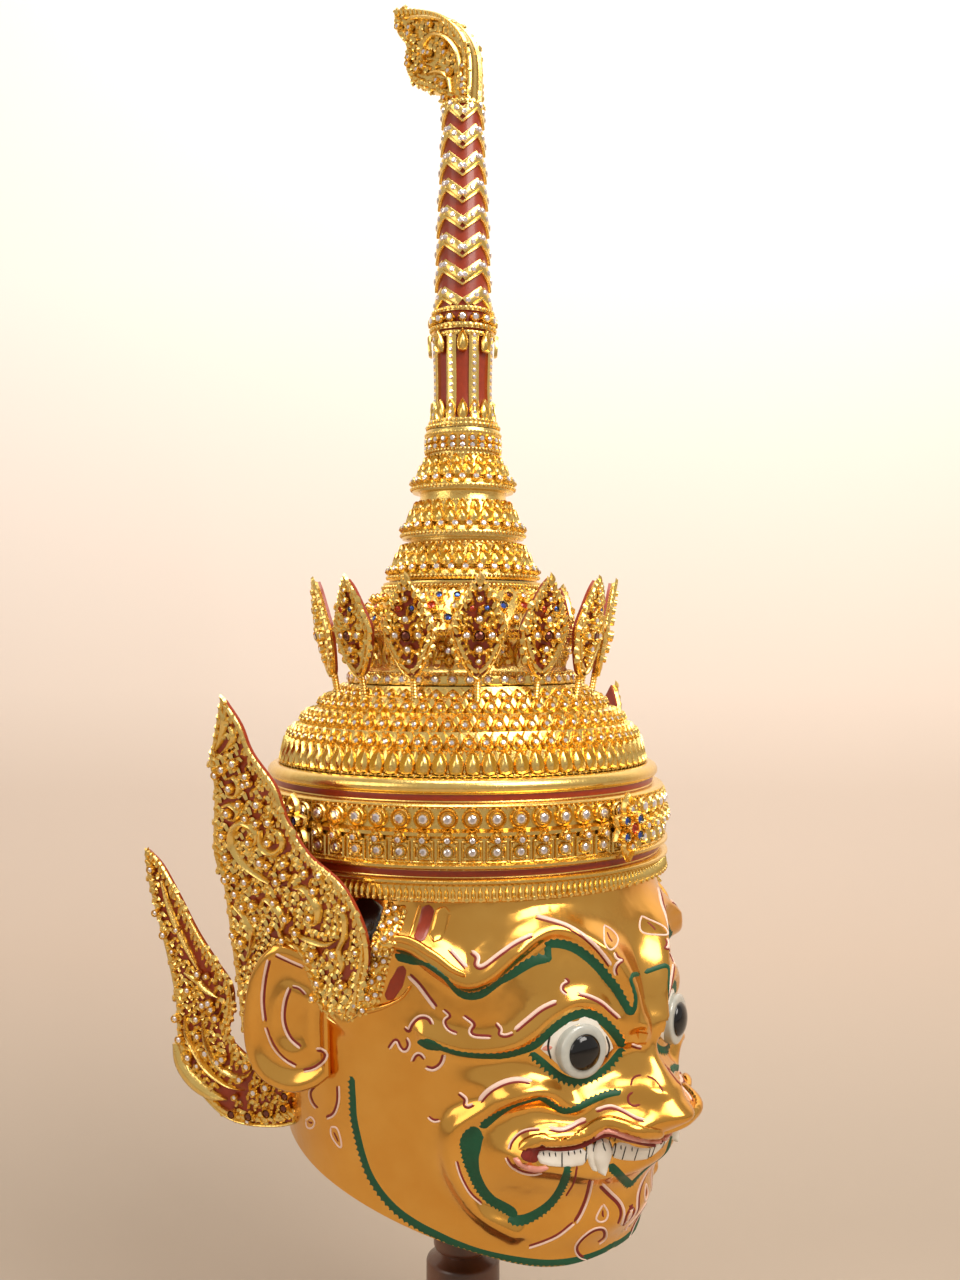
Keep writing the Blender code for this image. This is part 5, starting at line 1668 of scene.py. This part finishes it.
# %% Side flames
EAR_FLAME_SIZE = (0.070, 0.180)
EAR_FLAME_FRONT = ((-0.06, -0.13), (-0.13, -0.05), (-0.22, 0.04), (-0.21, 0.13), (-0.08, 0.23),
                   (0.17, 0.30), (0.32, 0.395), (0.37, 0.48), (0.54, 0.57), (0.60, 0.645),
                   (0.71, 0.71))
EAR_FLAME_REAR = ((0.71, 0.71), (0.87, 0.58), (0.92, 0.54), (0.92, 0.46), (1.04, 0.28), (1.0, 0.18),
                  (1.03, 0.0), (1.05, -0.13), (1.07, -0.28), (0.88, -0.33), (0.70, -0.27))
EAR_FLAME_FOOT = ((0.70, -0.27), (0.74, -0.13), (0.60, 0.02), (0.42, 0.03), (0.32, -0.05),
                  (0.26, -0.14), (0.10, -0.17), (-0.06, -0.13))
# Scrolls: points of the photograph, width and height in mm
EAR_FLAME_SCROLLS = (
    (((272, 882), (262, 876), (250, 867), (241, 857), (235, 846), (233, 835), (237, 826), (245, 822),
      (254, 826), (259, 834), (257, 842), (251, 842), (248, 836)), 3.4, 3.2),
    (((262, 829), (262, 842), (268, 851), (277, 852), (284, 844), (281, 832), (273, 826)), 2.8, 2.8),
    (((228, 779), (236, 777), (241, 785), (238, 795), (230, 795), (227, 787)), 2.4, 2.6),
    (((224, 806), (232, 804), (240, 811), (236, 819), (227, 818)), 2.4, 2.6),
    (((262, 905), (268, 898), (277, 905), (283, 914), (285, 924), (281, 934)), 2.8, 3.0),
    (((296, 886), (306, 888), (314, 897), (320, 909), (318, 921), (309, 922), (304, 914)), 3.0, 3.0),
    (((340, 905), (346, 918), (346, 935), (340, 950), (344, 965), (340, 978)), 2.6, 2.6),
    (((236, 905), (248, 918), (254, 932), (252, 948), (246, 962)), 2.8, 2.6),
    (((300, 935), (312, 940), (326, 944), (338, 940)), 2.6, 2.4),
    (((222, 707), (225, 722), (222, 738), (216, 752)), 3.0, 2.2),
    (((231, 726), (235, 736), (230, 746), (222, 753)), 2.6, 2.4),
)
# Stones: points of the photograph, radius in mm
EAR_FLAME_STONES = (
    (219, 774, 1.7), (226, 768, 1.9), (237, 762, 2.0), (249, 775, 1.7), (247, 784, 1.5), (242, 803, 1.6),
    (261, 803, 2.0), (233, 787, 1.9), (231, 812, 1.9), (249, 817, 1.6), (260, 822, 1.6), (272, 821, 1.8),
    (226, 834, 1.8), (230, 856, 1.9), (264, 861, 2.0), (287, 862, 1.7), (288, 874, 2.0), (229, 878, 1.8),
    (249, 880, 1.9), (280, 880, 1.7), (260, 889, 1.5), (239, 892, 1.8), (317, 889, 1.8), (246, 905, 1.7),
    (256, 903, 1.8), (277, 901, 1.6), (259, 917, 1.6), (289, 917, 1.8), (245, 940, 1.8), (316, 952, 1.8),
    (337, 952, 2.1), (321, 981, 1.8), (345, 984, 1.6), (316, 996, 1.7), (299, 931, 1.6), (313, 916, 1.7),
    (252, 841, 1.7), (271, 841, 1.6),
)
REAR_FLAME_SIZE = (0.087, 0.126)
REAR_FLAME_OUTER = ((-0.05, -0.06), (0.13, -0.10), (0.37, -0.11), (0.54, -0.07), (0.70, 0.04),
                    (0.79, 0.19), (0.80, 0.36), (0.85, 0.54), (0.92, 0.72), (0.98, 0.88), (1.0, 1.0))
REAR_FLAME_INNER = ((1.0, 1.0), (0.90, 0.94), (0.78, 0.81), (0.66, 0.67), (0.53, 0.55), (0.43, 0.46),
                    (0.42, 0.36), (0.46, 0.25), (0.36, 0.18), (0.22, 0.13), (-0.05, 0.10))
REAR_FLAME_SCROLLS = (
    (((177, 1042), (182, 1062), (195, 1081), (212, 1094), (228, 1099)), 6.5, 3.4),
    (((187, 1014), (189, 1034), (198, 1052), (210, 1070), (228, 1084), (246, 1090)), 2.6, 3.4),
    (((204, 1020), (207, 1040), (216, 1060), (230, 1073), (246, 1076), (254, 1068)), 2.6, 3.0),
    (((163, 880), (170, 905), (180, 930), (192, 955), (203, 975)), 2.8, 2.8),
    (((186, 972), (198, 980), (210, 992), (222, 998)), 2.6, 2.6),
)
REAR_FLAME_STONES = (
    (158, 912, 1.5), (166, 934, 1.7), (179, 929, 1.6), (200, 973, 1.7), (211, 1002, 1.8), (218, 1017, 1.7),
    (178, 1017, 1.7), (182, 1038, 1.8), (191, 1056, 1.9), (208, 1052, 1.8), (220, 1061, 1.7),
    (249, 1065, 1.7), (242, 1078, 1.6), (199, 1018, 1.7), (200, 1035, 1.6), (205, 1004, 1.8),
    (190, 989, 1.6), (268, 1086, 1.8), (256, 1091, 1.7),
)
REAR_FLAME_GARNETS = ((235, 1112, 1.9), (252, 1114, 2.0), (270, 1111, 2.0), (287, 1106, 1.9),
                      (288, 1094, 1.8))
FLAME_SPACING = 3.3
FLAME_STONES = 0.04


def make_side_flame(name, matrix, size, paths, tip, scrolls, stones, seed):
    """One pair of flames: fill the left one, then add its mirror image."""
    stage = Stage(name + "s")
    flat_scrolls = [([plate_point(pixel, matrix) for pixel in points], width, height)
                    for points, width, height in scrolls]
    flat_stones = [(*plate_point((x, y), matrix), radius, finish) for x, y, radius, finish in stones]
    filigree(stage, matrix, sharp_outline(paths, *size), (tip[0] * size[0], tip[1] * size[1]),
             flat_scrolls, flat_stones, FLAME_SPACING, seed, FLAME_STONES)
    stage.finish([name + "_right", name + "_left"], mirrored=True)


make_side_flame("ear_flame", head_frame(74, 1.085, 0.82, (0.174, 0.985, 0), (0.235, -0.042, 1)),
                EAR_FLAME_SIZE, (EAR_FLAME_FRONT, EAR_FLAME_REAR, EAR_FLAME_FOOT), (0.71, 0.9),
                EAR_FLAME_SCROLLS, [(*stone, "clear") for stone in EAR_FLAME_STONES], 3)
make_side_flame("rear_flame", head_frame(108, 0.92, 0.34, (0.40, 0.915, 0), (0.05, 0, 1)),
                REAR_FLAME_SIZE, (REAR_FLAME_OUTER, REAR_FLAME_INNER), (1.0, 1.1), REAR_FLAME_SCROLLS,
                [(*stone, "clear") for stone in REAR_FLAME_STONES]
                + [(*stone, "amber") for stone in REAR_FLAME_GARNETS], 5)

# %% [markdown]
# ## The jewelled strip of the face frame
# A strip of small castings and stones runs down from the band, in front of the ear flame, and
# closes the face off from the helmet. Its castings are pressed to the skin one by one.

# %% Frame strip
STRIP_ROUTE = ((397, 906), (392, 920), (386, 936), (381, 952), (377, 968), (373, 984), (368, 1000),
               (356, 1006))
STRIP_WIDTH = 22
STRIP_PITCH = 4
# Places across the strip; the outer ones have beads
LANES = (-1.0, -0.5, 0.0, 0.5, 1.0)
LANE_REACH = 0.44


def skin_place(point, size, lift, turn=0.0):
    """A place on the head's skin, with the casting's front looking outwards."""
    spot, normal = press(point, [head_tree])
    axes = normal.to_track_quat("-Y", "Z").to_matrix().to_4x4()
    return (Matrix.Translation(spot + normal * lift * MM) @ axes
            @ Matrix.Rotation(math.radians(turn), 4, "Y") @ Matrix.Scale(size, 4))


def make_strip():
    """Curls, beads and stones along both strips."""
    strip = Stage("frame_strips")
    draw = random.Random(21)
    path = even_path(STRIP_ROUTE, [head_tree])
    bed = brush((STRIP_WIDTH - 2) * PIXEL)
    lay_stroke(strip.layer("gold"), path, bed, bed, 1.2 * MM, [head_tree], fat=7)
    last = len(path) - 1
    for number in range(2, last - 1, STRIP_PITCH):
        ahead = path[min(number + 1, last)] - path[number - 1]
        sideways = press(path[number], [head_tree])[1].cross(ahead).normalized()
        for lane in LANES:
            spot = path[number] + sideways * lane * LANE_REACH * STRIP_WIDTH * PIXEL
            if abs(lane) == 1.0:
                strip.add("gold", BEAD, [skin_place(spot, 1.15, 0.8)])
            elif (number // STRIP_PITCH + int(2 * lane)) % 3 == 0:
                strip.add("gold", CUP, [skin_place(spot, 1.9, 1.6)])
                strip.add("clear", STONE, [skin_place(spot, 1.45, 2.8)])
            else:
                curl = CURLS[SMALL_CURL, draw.choice((1, -1))]
                strip.add("gold", curl, [skin_place(spot, 0.9, 1.2, draw.uniform(-60, 60))])
    strip.finish(mirrored=True)


make_strip()

# %% [markdown]
# ## The ring of standing flames
# Fourteen flames stand on beaded stalks round the drum. Each has a dark stone between four clear
# ones, small leaves up its edges, and a stone at its tip.

# %% Standing flames
STANDING_COUNT = 14
STANDING_HEIGHT = 0.050
STANDING_WIDTH = 0.026
STANDING_LEAN = 10.5
STANDING_FOOT = 0.0705
STALK = 0.014
STANDING_EDGE = ((0.0, 0.0), (0.16, 0.06), (0.34, 0.22), (0.46, 0.38), (0.50, 0.52), (0.38, 0.66),
                 (0.24, 0.82), (0.12, 0.93), (0.0, 1.0))
# Stones: mm across, share of the height, radius in mm and finish
STANDING_STONES = (
    (0, 0.44, 2.6, "amber"), (0, 0.60, 1.9, "clear"), (0, 0.30, 1.9, "clear"), (-6.2, 0.44, 1.9, "clear"),
    (6.2, 0.44, 1.9, "clear"), (-3.6, 0.71, 1.3, "red"), (3.6, 0.71, 1.3, "blue"), (0, 0.80, 1.3, "clear"),
    (0, 0.90, 1.0, "clear"), (0, 0.18, 1.2, "clear"),
)


def make_standing_flame():
    """One flame, its foot at the origin, as a stage of layers."""
    stage = Stage("standing_flames")
    left = [(-x, z) for x, z in reversed(STANDING_EDGE)]
    outline = sharp_outline((STANDING_EDGE, left), STANDING_WIDTH, STANDING_HEIGHT, 3)
    stones = [(x * MM, share * STANDING_HEIGHT, size, finish) for x, share, size, finish in STANDING_STONES]
    filigree(stage, Matrix.Translation((0, 0, STALK)), outline, (0, 1.4 * STANDING_HEIGHT), (), stones,
             spacing=3.0, seed=11, share=0.0, rim=1.8)
    beads = [((1.5 + 0.5 * (n % 2)) * MM, (0.75 * n - 1) * MM) for n in range(1, 23)]
    stalk = spun([(0, -1 * MM), (1.5 * MM, -1 * MM), *beads, (0, 15.6 * MM)], 10)
    stage.add("gold", to_template(stalk), [shift(y=1.4)])
    return stage


standing_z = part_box("standing_flame_01")[0].z
standing = Stage("standing_flames")
for finish, bm in make_standing_flame().layers.items():
    standing.add(finish, to_template(bm),
                 ring_places(STANDING_COUNT, STANDING_FOOT, standing_z, STANDING_LEAN, 0.5))
standing.finish([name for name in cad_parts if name.startswith("standing_flame")])

# %% [markdown]
# ## Flowers of the band
# Four blue stones round a red one, with a leaf above and a leaf below, mark the front, the back
# and both sides of the band.

# %% Band flowers
FLOWER_REACH = 0.1138
# Petals: direction in degrees, distance from the middle, width, height and depth in mm
FLOWER_PETALS = ((0, 5.4, 8.6, 11.5, 2.4), (180, 5.4, 8.6, 11.5, 2.4), (62, 3.2, 8.0, 9.0, 2.2),
                 (-62, 3.2, 8.0, 9.0, 2.2), (118, 3.2, 8.0, 9.0, 2.2), (-118, 3.2, 8.0, 9.0, 2.2))
# Stones: mm across and up, radius and finish
FLOWER_STONES = ((0, 0, 2.6, "red"), (5.0, 3.9, 2.1, "blue"), (-5.0, 3.9, 2.1, "blue"),
                 (5.0, -3.9, 2.1, "blue"), (-5.0, -3.9, 2.1, "blue"), (0, 9.0, 1.7, "clear"),
                 (0, -9.0, 1.7, "clear"))


def make_flowers():
    """The four flowers of the band."""
    flowers = Stage("band_flowers")
    low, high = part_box("band_flower_front")
    places = ring_places(4, FLOWER_REACH, (low + high).z / 2)
    for turn, far, width, height, depth in FLOWER_PETALS:
        spin = Matrix.Rotation(math.radians(turn), 4, "Y") @ shift(z=far)
        flowers.add("gold", petal(width, height, depth), [place @ spin for place in places])
    for x, z, size, finish in FLOWER_STONES:
        flowers.stones([place @ shift(x, -2.0, z) for place in places], size, 0.7 * size, size + 0.7, finish)
    flowers.finish([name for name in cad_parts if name.startswith("band_flower")])


make_flowers()

# %% [markdown]
# ## The finial
# The spire ends in a flame that curls backwards. It is filled on both sides, and its own body is
# thick, so the two plates stand back to back.

# %% Finial
FINIAL_SIZE = 0.068
FINIAL_HALF = 0.0040
FINIAL_EASE = 0.4
FINIAL_FRONT = ((-0.13, 0.0), (-0.14, 0.24), (-0.11, 0.42), (0.0, 0.60), (0.20, 0.77), (0.46, 0.90),
                (0.75, 1.0))
FINIAL_BACK = ((0.75, 1.0), (0.70, 0.80), (0.59, 0.66), (0.60, 0.52), (0.55, 0.38), (0.42, 0.26),
               (0.20, 0.14), (0.13, 0.0))
# Points of the scrolls, in shares of the finial's size, and their width and height in mm
FINIAL_SCROLLS = (
    ((-0.05, 0.05), (-0.05, 0.25), (0.0, 0.42), (0.12, 0.56), (0.28, 0.64), (0.40, 0.58), (0.38, 0.46),
     (0.28, 0.44)),
    ((0.16, 0.72), (0.34, 0.80), (0.52, 0.86), (0.66, 0.90)),
    ((0.06, 0.10), (0.10, 0.24), (0.22, 0.32), (0.36, 0.34)),
)
SCROLL_SIZE = (2.6, 2.6)


def make_finial():
    """The flame at the top, from the same flat outline on both sides."""
    stage = Stage("finial")
    outline = sharp_outline((FINIAL_FRONT, FINIAL_BACK), FINIAL_SIZE, FINIAL_SIZE)
    near = frame_matrix(Vector((FINIAL_HALF, 0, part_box("crown_finial")[0].z)), (0, 1, 0), (0, 0, 1))
    scrolls = [([(x * FINIAL_SIZE, z * FINIAL_SIZE) for x, z in points], *SCROLL_SIZE)
               for points in FINIAL_SCROLLS]
    filigree(stage, near, outline, (0.9 * FINIAL_SIZE, 1.2 * FINIAL_SIZE), scrolls, (), spacing=3.4,
             seed=9, share=0.15, ground="gold")
    for bm in stage.layers.values():
        mirror_copy(bm)
    core = plate_body(outline, 2 * (FINIAL_HALF - FINIAL_EASE * MM))
    join(stage.layer("gold"), core, near @ shift(y=FINIAL_EASE))
    stage.finish(["crown_finial"])


make_finial()

# %% [markdown]
# ## The wooden stand
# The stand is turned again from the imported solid's own profile, with many more sides and with
# every arris eased as a turner's sandpaper leaves it.

# %% Stand
STAND_SIDES = 96
# An eased corner starts this far from the arris, or at this share of a short side
ARRIS = 0.0016
SHORT_SIDE = 0.4
EASE_DEPTH = 0.3


def stand_profile():
    """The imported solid's rings from the foot up, with each corner eased."""
    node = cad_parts["wooden_stand"]
    places = [node.matrix_world @ vert.co for vert in node.data.vertices]
    rings = sorted({(round(place.z, 4), round(math.hypot(place.x, place.y), 4)) for place in places})
    rings = [np.array((radius, z)) for z, radius in rings]
    eased = [rings[0]]
    for before, corner, after in zip(rings, rings[1:], rings[2:]):
        back, on = before - corner, after - corner
        back *= min(SHORT_SIDE, ARRIS / np.linalg.norm(back))
        on *= min(SHORT_SIDE, ARRIS / np.linalg.norm(on))
        eased += [corner + back, corner + EASE_DEPTH * (back + on), corner + on]
    return eased + [rings[-1]]


make_piece("turned_stand", spun([tuple(row) for row in stand_profile()], STAND_SIDES), WOOD,
           SKIN_CREASE, ["wooden_stand"])
print("left as packed:", [name for name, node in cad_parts.items() if not node.hide_render])
